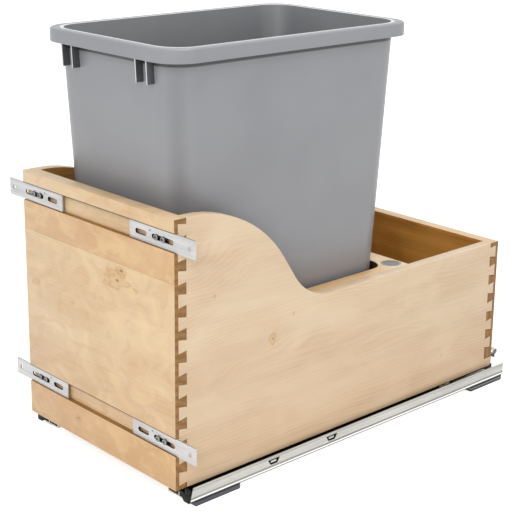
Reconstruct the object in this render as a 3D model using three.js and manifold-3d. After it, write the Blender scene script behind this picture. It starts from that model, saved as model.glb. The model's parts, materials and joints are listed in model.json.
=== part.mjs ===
// Pull-out waste cabinet: a dovetailed maple box on two full-extension runners, with a lift-out
// plastic bin, a platform that holds the bin upright, and four plates that carry the cabinet door.
// Millimetres, +Z up. The door side faces -Y. The origin is the middle of the footprint, at the
// underside of the runner pads.
import * as THREE from 'three';
import { mergeVertices } from 'three/addons/utils/BufferGeometryUtils.js';
import Module from 'manifold-3d';

const wasm = await Module();
wasm.setup();

// ---- Driving dimensions ---------------------------------------------------------------------

// Running and assembly clearance between two pieces that meet, how far a cutter passes the face
// that it opens, and how far two joined bodies run together
const fit = 0.3;
const overcut = 1;
const weld = 0.5;
const mergeDistance = 1e-4;

// Box
const boxWidth = 279.4;
const boxDepth = 546.1;
const frontHeight = 304.8;
const rearHeight = 174.6;
const frontThickness = 15.9;
const backThickness = 15.9;
const sideThickness = 12.7;
const heelRadius = 6;

// Half-blind dovetails
const pinPitch = 25.4;
const pinWidth = 12.7;
const pinSlope = THREE.MathUtils.degToRad(9.5);
const lap = 4.8;

// Swept top edge of the side boards
const crestStart = 22;
const crestRadius = 162;
const footRadius = 70;
const sweepSlope = THREE.MathUtils.degToRad(56.4);

// Bottom panel, held in grooves
const bottomRecess = 12.7;
const bottomThickness = 9.5;
const panelGrooveDepth = 6;

// Grooves across the front, for the door plates
const doorGrooveHeight = 20.6;
const doorGrooveDepth = 6.4;
const lowerGrooveHeight = 50.8;
const upperGrooveHeight = 279.4;

// Door plates
const plateLength = 108;
const plateHeight = 20;
const plateGauge = 2;
const plateOverhang = 31;
const plateRecess = 1.6;
const plateSlotHeight = 5.6;
const longSlotLength = 36;
const longSlotFromEnd = 52;
const shortSlotLength = 19;
const shortSlotFromEnd = 88.5;
const doorHoleDiameter = 5;
const doorHoleFromEnd = 9;
const markHoleDiameter = 2;
const markHoleFromEnd = 73;
const markHoleLift = 5.4;
const plateScrewDiameter = 4;
const plateScrewHead = 6.8;
const plateScrewHeadHeight = 1.3;
const plateScrewHeadEdge = 0.6;
const plateScrewLength = 13;
const plateScrewSlotInset = 7.3;
const plateScrewSpacing = 11.5;

// Bin
const binSideGap = 7;
const binLength = 370;
const binHeight = 451;
const binSetback = 14.9;
const binWall = 2;
const binFloor = 2.4;
const sideTaper = 0.03;
const endTaper = 0.05;
const binCornerRadius = 30;
const binFootBevel = 5;
const rimHeight = 15.3;
const rimOverhang = 10.5;
const rimGauge = 1.8;
const rimCornerRadius = 36;
const finPairSpread = 66.4;
const finPitch = 18.4;
const finGauge = 2;
const finDrop = 25;
const finInset = 1;
const finLean = 1.7;
const finBite = 0.8;

// Platform that holds the bin upright
const platformDrop = 2;
const platformThickness = 12.7;
const platformRearStrip = 25.5;
const cutoutSideGap = 6;
const cutoutEndGap = 1.5;
const cutoutCornerRadius = 21.4;
const cleatWidth = 15;
const cleatHeight = 15;
const cleatEndGap = 12;
const capDiameter = 25;
const capThickness = 4;
const capFromSide = 21;
const capFromRear = 14.2;

// Runners, bent from sheet
const padThickness = 7;
const padLength = 65;
const padWidth = 14;
const frontPadSetback = 23;
const rearPadInset = 3;
const runnerHeight = 17;
const runnerTopGap = 0.7;
const runnerOverhang = 6.3;
const runnerSetback = 15.5;
const runnerRearReach = 19.9;
const runnerGauge = 1.5;
const runnerSlant = 4.5;
const slotTopLength = 19;
const slotBottomLength = 10.5;
const slotHeight = 6.5;
const slotLift = 6;
const slotPlaces = [140.5, 235];

// Middle runner, drawer runner and the rollers between them
const flangeHalf = 7.9;
const flangeGauge = 1.4;
const webHalf = 1.4;
const sideClearance = 0.5;
const liftClearance = 1;
const lipReach = 2.5;
const drawerRunnerSetback = 18;
const drawerRunnerRearReach = 15.9;
const middleSetback = 24;
const middleRearGap = 26.1;
const lowerRoller = 4.5;
const upperRoller = 3;
const rollerPlay = 0.1;
const rollerPitch = 28;
const rollerCount = 8;
const cageGauge = 1.2;
const cageMargin = 16;
const lowerCageSetback = 155;
const upperCageSetback = 160;

// Black nose at the front of each cabinet runner
const noseSetback = 12.4;
const noseWaist = 0.8;
const noseFootHeight = 4;
const noseProud = 0.4;
const noseShoulder = 18;

// Hook at the back of each drawer runner, which holds the box down
const hookGauge = 1.6;
const hookWidth = 6;
const hookRadius = 3.8;
const hookHeight = 17.5;
const hookReach = 3;
const hookFootHeight = 5;
const prongDepth = 8;

// Soft-close unit in the outer trough of each cabinet runner
const housingRearInset = 26;
const housingLength = 140;
const housingHalf = 6.5;
const housingHeight = 9.2;
const housingWall = 1.5;
const damperDiameter = 8;
const damperLength = 64;
const damperBoreDepth = 56;
const rodDiameter = 3;
const rodOut = 10;
const rodIn = 50;
const catchLength = 14;
const catchLip = 3;
const catchNotchDepth = 4;
const strikerClearance = 0.6;
const strikerHeight = 3.5;
const strikerWidth = 2.7;
const strikerReach = 4;

// Front catch that locks the box to the drawer runner, with its release lever
const lockWidth = 25;
const lockLength = 43;
const lockPlate = 1.6;
const earGauge = 2;
const earLength = 8;
const leverLength = 29;
const leverThickness = 3.5;
const leverDrop = 6;
const leverPlay = 0.1;
const leverPinDiameter = 3;
const leverHubWall = 2;
const lockScrewDiameter = 3;
const lockScrewHead = 6;
const lockScrewHeadHeight = 1.4;
const lockScrewDepth = 6;
const lockScrewSetback = 6;

// ---- Places that follow from them -----------------------------------------------------------

const halfBox = boxWidth / 2;
const innerHalf = halfBox - sideThickness;
const boxZ = padThickness + runnerHeight;
const binWidth = 2 * (innerHalf - binSideGap);
const hookShank = boxDepth + drawerRunnerRearReach + fit + hookGauge / 2;
const overallDepth = hookShank + hookRadius + hookGauge / 2;
const frontY = -overallDepth / 2;
const frontInnerY = frontY + frontThickness;
const backY = frontY + boxDepth;
const backInnerY = backY - backThickness;
const bottomZ = boxZ + bottomRecess;
const bottomTopZ = bottomZ + bottomThickness;

const lockOuterX = innerHalf - 2 * (flangeHalf + sideClearance + runnerGauge) - 2 * fit;
const lockMiddleX = lockOuterX - lockWidth / 2;
const lockFrontY = frontInnerY + 2 * fit;
const lockScrewY = lockFrontY + lockScrewSetback;

// ---- Materials ------------------------------------------------------------------------------

const finish = (color, roughness, metalness = 0) =>
  new THREE.MeshStandardMaterial({ color, roughness, metalness });
const maple = finish(0xe0c29a, 0.5);
const plywood = finish(0xdcc09c, 0.6);
const greyPlastic = finish(0x98999c, 0.45);
const zincSteel = finish(0xc9cac6, 0.35, 0.8);
const plateSteel = finish(0xcdcfd2, 0.4, 0.7);
const darkPad = finish(0x69676f, 0.7);
const blackPlastic = finish(0x2f312f, 0.5);
const nylon = finish(0xe6e6e0, 0.5);

// ---- Helpers --------------------------------------------------------------------------------

const model = new THREE.Group();
const hands = [[1, 'right'], [-1, 'left']];

function addPiece(name, geometry, material) {
  const mesh = new THREE.Mesh(geometry, material);
  mesh.name = name;
  model.add(mesh);
}

// A block between two corners
function block([x0, x1], [y0, y1], [z0, z1]) {
  const geometry = new THREE.BoxGeometry(x1 - x0, y1 - y0, z1 - z0);
  return geometry.translate((x0 + x1) / 2, (y0 + y1) / 2, (z0 + z1) / 2);
}

// The range from a to b on one side of the box, in ascending order
const across = (side, a, b) => (side > 0 ? [a, b] : [-b, -a]);

function shapeOf(points, holes = []) {
  const shape = new THREE.Shape(points.map(([u, v]) => new THREE.Vector2(u, v)));
  shape.holes = holes.map((hole) => new THREE.Path(hole.map(([u, v]) => new THREE.Vector2(u, v))));
  return shape;
}

const prism = (points, holes, depth) =>
  new THREE.ExtrudeGeometry(shapeOf(points, holes), { depth, bevelEnabled: false });

// Outlines in (y, z), (x, z) and (x, y), carried along the remaining axis
function alongX(points, [x0, x1], holes = []) {
  const turn = new THREE.Matrix4().set(0, 0, 1, x0, 1, 0, 0, 0, 0, 1, 0, 0, 0, 0, 0, 1);
  return prism(points, holes, x1 - x0).applyMatrix4(turn);
}

const alongY = (points, [y0, y1], holes = []) =>
  prism(points, holes, y1 - y0).rotateX(Math.PI / 2).translate(0, y1, 0);

const alongZ = (points, [z0, z1], holes = []) => prism(points, holes, z1 - z0).translate(0, 0, z0);

// Points on an arc, both ends included
function arc(u, v, radius, from, to, steps) {
  return Array.from({ length: steps + 1 }, (_, i) => {
    const angle = from + ((to - from) * i) / steps;
    return [u + radius * Math.cos(angle), v + radius * Math.sin(angle)];
  });
}

const circle = (u, v, diameter, steps = 16) =>
  arc(u, v, diameter / 2, 0, 2 * Math.PI, steps).slice(0, -1);

// Rods along Y, X and Z
function rodY(x, z, diameter, [y0, y1], sides = 16) {
  const geometry = new THREE.CylinderGeometry(diameter / 2, diameter / 2, y1 - y0, sides);
  return geometry.translate(x, (y0 + y1) / 2, z);
}

function rodX(y, z, diameter, [x0, x1], sides = 12) {
  const geometry = new THREE.CylinderGeometry(diameter / 2, diameter / 2, x1 - x0, sides);
  return geometry.rotateZ(Math.PI / 2).translate((x0 + x1) / 2, y, z);
}

function rodZ(x, y, diameter, [z0, z1], sides = 16) {
  const geometry = new THREE.CylinderGeometry(diameter / 2, diameter / 2, z1 - z0, sides);
  return geometry.rotateX(Math.PI / 2).translate(x, y, (z0 + z1) / 2);
}

function toSolid(geometry) {
  const bare = geometry.clone();
  bare.deleteAttribute('normal');
  bare.deleteAttribute('uv');
  const merged = mergeVertices(bare, mergeDistance);
  return new wasm.Manifold(new wasm.Mesh({
    numProp: 3,
    vertProperties: new Float32Array(merged.attributes.position.array),
    triVerts: new Uint32Array(merged.index.array),
  }));
}

function toGeometry(solid) {
  const mesh = solid.getMesh();
  const geometry = new THREE.BufferGeometry();
  geometry.setAttribute('position', new THREE.BufferAttribute(mesh.vertProperties, 3));
  geometry.setIndex(new THREE.BufferAttribute(mesh.triVerts, 1));
  geometry.computeVertexNormals();
  return geometry;
}

const cut = (body, ...tools) =>
  toGeometry(tools.reduce((solid, tool) => solid.subtract(toSolid(tool)), toSolid(body)));

const join = (...bodies) =>
  toGeometry(bodies.map(toSolid).reduce((whole, solid) => whole.add(solid)));

// ---- Dovetails ------------------------------------------------------------------------------

// Pin centres up the front joint, and up the back joint, where they are set out from the top
const frontPins = [];
for (let z = 0; z < frontHeight + pinWidth / 2; z += pinPitch) {
  frontPins.push(z);
}
const backPins = [];
for (let z = rearHeight; z > bottomRecess; z -= pinPitch) {
  backPins.unshift(z);
}

// Each tail lies between two pins. Its heights are given at its root and at its tip, and play
// makes it smaller all round.
function tailsBetween(pins, top, tailLength, play) {
  const flare = Math.tan(pinSlope) * tailLength;
  const tails = [];
  for (let i = 0; i < pins.length; i += 1) {
    const root = [pins[i] + pinWidth / 2 + play, pins[i] + pinPitch - pinWidth / 2 - play];
    if (root[0] >= top) continue;
    const last = i === pins.length - 1;
    const reach = last ? top : Math.min(root[1], top);
    const tipTop = last ? top : Math.min(root[1] + flare, top);
    tails.push({ root: [root[0], reach], tip: [root[0] - flare, tipTop] });
  }
  return tails;
}

// The tail's outline in (y, z), from its root at y towards the tip
const tailOutline = (tail, rootY, tipY) => [
  [rootY, boxZ + tail.root[0]],
  [tipY, boxZ + tail.tip[0]],
  [tipY, boxZ + tail.tip[1]],
  [rootY, boxZ + tail.root[1]],
];

const frontTailLength = frontThickness - lap;
const backTailLength = backThickness - lap;

// The pockets that take the tails, at both ends of a front or back panel
function tailPockets(pins, top, rootY, tipY, tailLength) {
  const mouthY = rootY + Math.sign(rootY - tipY) * overcut;
  const above = top + overcut;
  const pockets = [];
  for (const side of [-1, 1]) {
    for (const tail of tailsBetween(pins, top, tailLength, 0)) {
      const open = { root: [tail.root[0], above], tip: [tail.tip[0], above] };
      const grown = tail.root[1] >= top ? open : tail;
      const outline = tailOutline(grown, rootY, tipY);
      outline.push([mouthY, outline[3][1]], [mouthY, outline[0][1]]);
      pockets.push(alongX(outline, across(side, innerHalf - fit, halfBox + overcut)));
    }
  }
  return pockets;
}

// ---- Box ------------------------------------------------------------------------------------

const grooveCentres = [boxZ + lowerGrooveHeight, boxZ + upperGrooveHeight];
const plateEnd = halfBox + plateOverhang;
const plateFaceY = frontY + plateRecess;
const plateScrewTip = frontY + plateScrewLength;
const innerScrewX = plateEnd - longSlotFromEnd - longSlotLength / 2 + plateScrewSlotInset;
const plateScrewXs = [-1, 1].flatMap((side) =>
  [0, 1].map((i) => side * (innerScrewX + i * plateScrewSpacing)));
const plateScrewPlaces = grooveCentres.flatMap((z) => plateScrewXs.map((x) => ({ x, z })));
const doorGrooves = grooveCentres.map((z) => block(
  [-halfBox - overcut, halfBox + overcut],
  [frontY - overcut, frontY + doorGrooveDepth],
  [z - doorGrooveHeight / 2, z + doorGrooveHeight / 2],
));

function frontPanel() {
  const board = block([-halfBox, halfBox], [frontY, frontInnerY], [boxZ, boxZ + frontHeight]);
  const pockets = tailPockets(frontPins, frontHeight, frontInnerY, frontY + lap, frontTailLength);
  const panelGroove = block(
    [-innerHalf, innerHalf],
    [frontInnerY - panelGrooveDepth, frontInnerY + overcut],
    [bottomZ, bottomTopZ],
  );
  const pilots = plateScrewPlaces.map(({ x, z }) =>
    rodY(x, z, plateScrewDiameter + 2 * fit, [frontY, plateScrewTip + fit]));
  return cut(board, ...pockets, panelGroove, ...doorGrooves, ...pilots);
}

const hookX = innerHalf + hookReach;
const hookTop = boxZ + hookHeight;

function backPanel() {
  const board = block([-halfBox, halfBox], [backInnerY, backY], [bottomZ, boxZ + rearHeight]);
  const pockets = tailPockets(backPins, rearHeight, backInnerY, backY - lap, backTailLength);
  const rebate = block(
    [-innerHalf, innerHalf],
    [backInnerY - overcut, backInnerY + panelGrooveDepth],
    [bottomZ - overcut, bottomTopZ],
  );
  const prongHoles = [-1, 1].map((side) => block(
    across(side, hookX - hookWidth / 2 - fit, hookX + hookWidth / 2 + fit),
    [backY - prongDepth - fit, backY + overcut],
    [hookTop - hookGauge - fit, hookTop + fit],
  ));
  return cut(board, ...pockets, rebate, ...prongHoles);
}

// The swept top edge, from the front joint to the level rear part
function sweptEdge() {
  const drop = frontHeight - rearHeight;
  const steepest = Math.acos(Math.max(-1, 1 - drop / (crestRadius + footRadius)));
  const slope = Math.min(sweepSlope, steepest);
  const arcsDrop = (crestRadius + footRadius) * (1 - Math.cos(slope));
  const straight = (drop - arcsDrop) / Math.tan(slope);
  const crestY = frontY + crestStart;
  const footY = crestY + (crestRadius + footRadius) * Math.sin(slope) + straight;
  const up = Math.PI / 2;
  return [
    ...arc(crestY, boxZ + frontHeight - crestRadius, crestRadius, up, up - slope, 12),
    ...arc(footY, boxZ + rearHeight + footRadius, footRadius, -up - slope, -up, 8),
  ];
}

function sidePanel(side) {
  const frontRoot = frontInnerY + fit;
  const backRoot = backInnerY - fit;
  const up = tailsBetween(frontPins, frontHeight, frontTailLength, fit)
    .flatMap((tail) => tailOutline(tail, frontRoot, frontY + lap + fit));
  const down = tailsBetween(backPins, rearHeight, backTailLength, fit).reverse()
    .flatMap((tail) => tailOutline(tail, backRoot, backY - lap - fit).reverse());
  const outline = [
    [frontRoot, boxZ],
    ...up,
    [frontRoot, boxZ + frontHeight],
    ...sweptEdge(),
    [backRoot, boxZ + rearHeight],
    ...down,
    [backRoot, bottomZ - fit],
    [backY, bottomZ - fit],
    ...arc(backY - heelRadius, boxZ + heelRadius, heelRadius, 0, -Math.PI / 2, 5),
  ];
  const panelGroove = block(
    across(side, innerHalf - overcut, innerHalf + panelGrooveDepth),
    [frontInnerY, backInnerY],
    [bottomZ, bottomTopZ],
  );
  return cut(alongX(outline, across(side, innerHalf, halfBox)), panelGroove, ...doorGrooves);
}

// A panel with a tongue at the front and back, and its long edges in the side grooves
function bottomPanel() {
  const pilots = [-1, 1].map((side) => rodZ(
    side * lockMiddleX,
    lockScrewY,
    lockScrewDiameter + 2 * fit,
    [bottomZ, bottomZ + fit + lockScrewDepth],
  ));
  const wide = innerHalf + panelGrooveDepth - fit;
  const narrow = innerHalf - fit;
  const right = [
    [narrow, frontInnerY - panelGrooveDepth + fit],
    [narrow, frontInnerY + fit],
    [wide, frontInnerY + fit],
    [wide, backInnerY - fit],
    [narrow, backInnerY - fit],
    [narrow, backInnerY + panelGrooveDepth - fit],
  ];
  const left = right.map(([x, y]) => [-x, y]).reverse();
  return cut(alongZ([...right, ...left], [bottomZ + fit, bottomTopZ - fit]), ...pilots);
}

addPiece('front_panel', frontPanel(), maple);
addPiece('back_panel', backPanel(), maple);
addPiece('side_panel_right', sidePanel(1), maple);
addPiece('side_panel_left', sidePanel(-1), maple);
addPiece('bottom_panel', bottomPanel(), plywood);

// ---- Bin ------------------------------------------------------------------------------------

const binZ = bottomTopZ;
const binY = frontY + binSetback + binLength / 2;
const rimZ = binZ + binHeight - rimHeight;

// How far the body's outer faces lie inside the rim at a height, along the sides and at the ends
const sideInset = (z) => rimOverhang + sideTaper * (rimZ - z);
const endInset = (z) => rimOverhang + endTaper * (rimZ - z);

function roundedLoop(halfX, halfY, radius, centreY, steps) {
  const quarter = Math.PI / 2;
  const corners = [[1, 1], [-1, 1], [-1, -1], [1, -1]];
  return corners.flatMap(([sx, sy], i) => arc(
    sx * (halfX - radius),
    centreY + sy * (halfY - radius),
    radius,
    i * quarter,
    (i + 1) * quarter,
    steps,
  ));
}

// A closed skin through rings of equal point counts, with a flat fan at each end
function loft(rings) {
  const count = rings[0].length;
  const positions = rings.flat(2);
  const triangles = [];
  for (let r = 0; r < rings.length - 1; r += 1) {
    for (let i = 0; i < count; i += 1) {
      const a = r * count + i;
      const b = r * count + ((i + 1) % count);
      triangles.push(a, b, b + count, a, b + count, a + count);
    }
  }
  const last = (rings.length - 1) * count;
  for (let i = 1; i < count - 1; i += 1) {
    triangles.push(0, i + 1, i);
    triangles.push(last, last + i, last + i + 1);
  }
  const geometry = new THREE.BufferGeometry();
  geometry.setAttribute('position', new THREE.Float32BufferAttribute(positions, 3));
  geometry.setIndex(triangles);
  return geometry;
}

// One ring of the bin: its height, how far it lies inside the body or the rim, and its corners
const bodyRing = (z, inset, heightOfInset = z) => roundedLoop(
  binWidth / 2 - sideInset(heightOfInset) - inset,
  binLength / 2 - endInset(heightOfInset) - inset,
  binCornerRadius - inset,
  binY,
  7,
).map(([x, y]) => [x, y, z]);

const rimRing = (z, inset) => roundedLoop(
  binWidth / 2 - inset,
  binLength / 2 - inset,
  rimCornerRadius - inset,
  binY,
  7,
).map(([x, y]) => [x, y, z]);

function binShell() {
  const top = binZ + binHeight;
  const ledge = top - rimGauge;
  const floorZ = binZ + binFloor;
  return loft([
    bodyRing(binZ + fit, binFootBevel, binZ),
    bodyRing(binZ + binFootBevel, 0),
    bodyRing(ledge, 0, rimZ),
    rimRing(ledge, rimGauge),
    rimRing(rimZ, rimGauge),
    rimRing(rimZ, 0),
    rimRing(ledge, 0),
    rimRing(top, rimGauge),
    bodyRing(top, binWall - rimGauge, rimZ),
    bodyRing(ledge, binWall, rimZ),
    bodyRing(floorZ + binFootBevel, binWall),
    bodyRing(floorZ + fit, binWall + binFootBevel, floorZ),
  ]);
}

// Pairs of upright fins under the rim, on both ends of the bin
function binFins() {
  const top = rimZ + rimHeight - rimGauge;
  const bottom = rimZ - finDrop;
  const half = binLength / 2;
  const outline = [
    [half - endInset(bottom) - finBite, bottom],
    [half - finInset - finLean, bottom],
    [half - finInset, rimZ],
    [half - finInset, top],
    [half - endInset(bottom) - finBite, top],
  ];
  const fins = [];
  for (const end of [-1, 1]) {
    const placed = outline.map(([y, z]) => [binY + end * y, z]);
    for (const pair of [-1, 1]) {
      for (const fin of [-1, 1]) {
        const x = pair * finPairSpread + (fin * finPitch) / 2;
        fins.push(alongX(end > 0 ? placed : placed.reverse(), [x - finGauge / 2, x + finGauge / 2]));
      }
    }
  }
  return fins;
}

addPiece('bin', join(binShell(), ...binFins()), greyPlastic);

// ---- Platform -------------------------------------------------------------------------------

const platformTopZ = boxZ + rearHeight - platformDrop;
const platformZ = platformTopZ - platformThickness;
const cutoutHalfX = binWidth / 2 - sideInset(platformTopZ) + cutoutSideGap;
const cutoutHalfY = binLength / 2 - endInset(platformTopZ) + cutoutEndGap;
const platformEndY = binY + cutoutHalfY + platformRearStrip;
const capY = platformEndY - capFromRear;
const capX = innerHalf - capFromSide;

function platform() {
  const edge = innerHalf - fit;
  const outline = [
    [-edge, frontInnerY + fit],
    [edge, frontInnerY + fit],
    [edge, platformEndY],
    [-edge, platformEndY],
  ];
  const opening = roundedLoop(cutoutHalfX, cutoutHalfY, cutoutCornerRadius, binY, 6);
  const board = alongZ(outline, [platformZ, platformTopZ], [opening]);
  const seatSpan = [platformTopZ - capThickness, platformTopZ + overcut];
  const seats = [-1, 1].map((side) =>
    rodZ(side * capX, capY, capDiameter + 2 * fit, seatSpan, 24));
  return cut(board, ...seats);
}

addPiece('bin_platform', platform(), maple);
for (const [side, hand] of hands) {
  addPiece(
    `platform_cleat_${hand}`,
    block(
      across(side, innerHalf - fit - cleatWidth, innerHalf - fit),
      [frontInnerY + cleatEndGap, platformEndY - cleatEndGap],
      [platformZ - fit - cleatHeight, platformZ - fit],
    ),
    maple,
  );
  addPiece(
    `platform_cap_${hand}`,
    rodZ(side * capX, capY, capDiameter, [platformTopZ - capThickness + fit, platformTopZ - fit], 24),
    greyPlastic,
  );
}

// ---- Door plates ----------------------------------------------------------------------------

// A stadium slot in (x, z), centred on a point
function stadium(x, z, length, height) {
  const reach = (length - height) / 2;
  return [
    ...arc(x + reach, z, height / 2, -Math.PI / 2, Math.PI / 2, 6),
    ...arc(x - reach, z, height / 2, Math.PI / 2, (3 * Math.PI) / 2, 6),
  ];
}

function doorPlate(side, z) {
  const [x0, x1] = across(side, plateEnd - plateLength, plateEnd);
  const low = z - plateHeight / 2;
  const high = z + plateHeight / 2;
  const holes = [
    stadium(side * (plateEnd - longSlotFromEnd), z, longSlotLength, plateSlotHeight),
    stadium(side * (plateEnd - shortSlotFromEnd), z, shortSlotLength, plateSlotHeight),
    circle(side * (plateEnd - doorHoleFromEnd), z, doorHoleDiameter),
    circle(side * (plateEnd - markHoleFromEnd), z + markHoleLift, markHoleDiameter, 8),
  ];
  const outline = [[x0, low], [x1, low], [x1, high], [x0, high]];
  const face = alongY(outline, [plateFaceY, plateFaceY + plateGauge], holes);
  const flangeX = across(side, plateEnd - plateLength, halfBox);
  const flangeY = [plateFaceY, frontY + doorGrooveDepth - fit];
  const flanges = [[low, low + plateGauge], [high - plateGauge, high]];
  return join(face, ...flanges.map((span) => block(flangeX, flangeY, span)));
}

// A pan-head screw along Y, turned as one profile with its head towards -Y
function plateScrew(x, z) {
  const profile = [
    [0, 0],
    [plateScrewHead / 2 - plateScrewHeadEdge, 0],
    [plateScrewHead / 2, plateScrewHeadEdge],
    [plateScrewHead / 2, plateScrewHeadHeight],
    [plateScrewDiameter / 2, plateScrewHeadHeight],
    [plateScrewDiameter / 2, plateScrewLength - plateScrewDiameter / 2],
    [0, plateScrewLength],
  ].map(([r, y]) => new THREE.Vector2(r, y));
  return new THREE.LatheGeometry(profile, 16).translate(x, frontY, z);
}

const levels = ['lower', 'upper'];
levels.forEach((level, row) => {
  for (const [side, hand] of hands) {
    addPiece(`door_plate_${level}_${hand}`, doorPlate(side, grooveCentres[row]), plateSteel);
    const screws = plateScrewPlaces.filter(({ x, z }) => z === grooveCentres[row] && x * side > 0);
    screws.forEach(({ x, z }, i) => {
      addPiece(`door_plate_screw_${level}_${hand}_${i + 1}`, plateScrew(x, z), zincSteel);
    });
  }
});

// ---- Cabinet runners ------------------------------------------------------------------------

const channelHalf = flangeHalf + sideClearance + runnerGauge;
const lipHalf = channelHalf - runnerGauge - lipReach;
const trackX = innerHalf - fit - channelHalf;
const railOuter = halfBox + runnerOverhang;
const runnerFrontY = frontY + runnerSetback;
const runnerEndY = backY + runnerRearReach;
const runnerTopZ = boxZ - runnerTopGap;
const runnerFloorZ = padThickness + runnerGauge;
const middleZ = runnerFloorZ + lowerRoller + 2 * rollerPlay;
const lipZ = middleZ + flangeGauge + liftClearance;

// A mirror of an outline in (x, z) for the left side
const onSide = (side, points) => (side > 0 ? points : points.map(([x, z]) => [-x, z]).reverse());

// The section of the cabinet runner: a track for the middle runner, then a trough
function cabinetRunner(side) {
  const wallX = railOuter - runnerGauge;
  const wallHalf = channelHalf - runnerGauge;
  const section = [
    [trackX - channelHalf, padThickness],
    [railOuter, padThickness],
    [railOuter, runnerTopZ],
    [wallX, runnerTopZ],
    [wallX, runnerFloorZ],
    [trackX + channelHalf, runnerFloorZ],
    [trackX + channelHalf, lipZ + runnerGauge],
    [trackX + lipHalf, lipZ + runnerGauge],
    [trackX + lipHalf, lipZ],
    [trackX + wallHalf, lipZ],
    [trackX + wallHalf, runnerFloorZ],
    [trackX - wallHalf, runnerFloorZ],
    [trackX - wallHalf, lipZ],
    [trackX - lipHalf, lipZ],
    [trackX - lipHalf, lipZ + runnerGauge],
    [trackX - channelHalf, lipZ + runnerGauge],
  ];
  const body = alongY(onSide(side, section), [runnerFrontY, runnerEndY]);
  const slant = alongX([
    [runnerFrontY - overcut, runnerFloorZ],
    [runnerFrontY, runnerFloorZ],
    [runnerFrontY + runnerSlant, runnerTopZ],
    [runnerFrontY + runnerSlant, runnerTopZ + overcut],
    [runnerFrontY - overcut, runnerTopZ + overcut],
  ], across(side, wallX - overcut, railOuter + overcut));
  const slotZ = padThickness + slotLift;
  const slots = slotPlaces.map((place) => alongX([
    [frontY + place - slotBottomLength / 2, slotZ],
    [frontY + place + slotBottomLength / 2, slotZ],
    [frontY + place + slotTopLength / 2, slotZ + slotHeight],
    [frontY + place - slotTopLength / 2, slotZ + slotHeight],
  ], across(side, wallX - overcut, railOuter + overcut)));
  return cut(body, slant, ...slots);
}

// The nose plugs the trough. It stays low under the box side, where the striker passes.
function runnerNose(side) {
  const noseY = frontY + noseSetback;
  const rootY = runnerFrontY - fit;
  const shoulder = block(
    across(side, trackX + channelHalf + fit, railOuter + noseProud),
    [noseY + noseWaist, rootY],
    [padThickness + noseFootHeight - weld, noseShoulder],
  );
  const foot = block(
    across(side, trackX + channelHalf + fit, railOuter + noseProud),
    [noseY, rootY],
    [padThickness, padThickness + noseFootHeight],
  );
  const cheek = block(
    across(side, halfBox + fit, railOuter + noseProud),
    [noseY + noseWaist, rootY],
    [noseShoulder - weld, runnerTopZ],
  );
  return join(shoulder, foot, cheek);
}

function runnerPad(side, y) {
  return block(across(side, railOuter - padWidth, railOuter), [y, y + padLength], [0, padThickness]);
}

// ---- Middle and drawer runners --------------------------------------------------------------

const hatUnderZ = bottomZ - runnerGauge;
const middleTopZ = hatUnderZ - upperRoller - 2 * rollerPlay;
const drawerLipZ = middleTopZ - flangeGauge - liftClearance - runnerGauge;
const drawerRunnerY = frontY + drawerRunnerSetback;
const drawerRunnerEndY = backY + drawerRunnerRearReach;

function middleRunner(side) {
  const section = [
    [trackX - flangeHalf, middleZ],
    [trackX + flangeHalf, middleZ],
    [trackX + flangeHalf, middleZ + flangeGauge],
    [trackX + webHalf, middleZ + flangeGauge],
    [trackX + webHalf, middleTopZ - flangeGauge],
    [trackX + flangeHalf, middleTopZ - flangeGauge],
    [trackX + flangeHalf, middleTopZ],
    [trackX - flangeHalf, middleTopZ],
    [trackX - flangeHalf, middleTopZ - flangeGauge],
    [trackX - webHalf, middleTopZ - flangeGauge],
    [trackX - webHalf, middleZ + flangeGauge],
    [trackX - flangeHalf, middleZ + flangeGauge],
  ];
  return alongY(onSide(side, section), [frontY + middleSetback, backY - middleRearGap]);
}

function drawerRunner(side) {
  const wallHalf = channelHalf - runnerGauge;
  const section = [
    [trackX - channelHalf, drawerLipZ],
    [trackX - lipHalf, drawerLipZ],
    [trackX - lipHalf, drawerLipZ + runnerGauge],
    [trackX - wallHalf, drawerLipZ + runnerGauge],
    [trackX - wallHalf, hatUnderZ],
    [trackX + wallHalf, hatUnderZ],
    [trackX + wallHalf, drawerLipZ + runnerGauge],
    [trackX + lipHalf, drawerLipZ + runnerGauge],
    [trackX + lipHalf, drawerLipZ],
    [trackX + channelHalf, drawerLipZ],
    [trackX + channelHalf, bottomZ],
    [trackX - channelHalf, bottomZ],
  ];
  return alongY(onSide(side, section), [drawerRunnerY, drawerRunnerEndY]);
}

// A flat cage with rollers that lie across it
function rollerCage(side, setback, diameter, floorZ) {
  const y = frontY + setback;
  const axisZ = floorZ + rollerPlay + diameter / 2;
  const span = (rollerCount - 1) * rollerPitch + 2 * cageMargin;
  const strip = block(
    across(side, trackX - flangeHalf, trackX + flangeHalf),
    [y, y + span],
    [axisZ - cageGauge / 2, axisZ + cageGauge / 2],
  );
  const rollers = Array.from({ length: rollerCount }, (_, i) => rodX(
    y + cageMargin + i * rollerPitch,
    axisZ,
    diameter,
    across(side, trackX - flangeHalf + sideClearance, trackX + flangeHalf - sideClearance),
  ));
  return join(strip, ...rollers);
}

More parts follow.
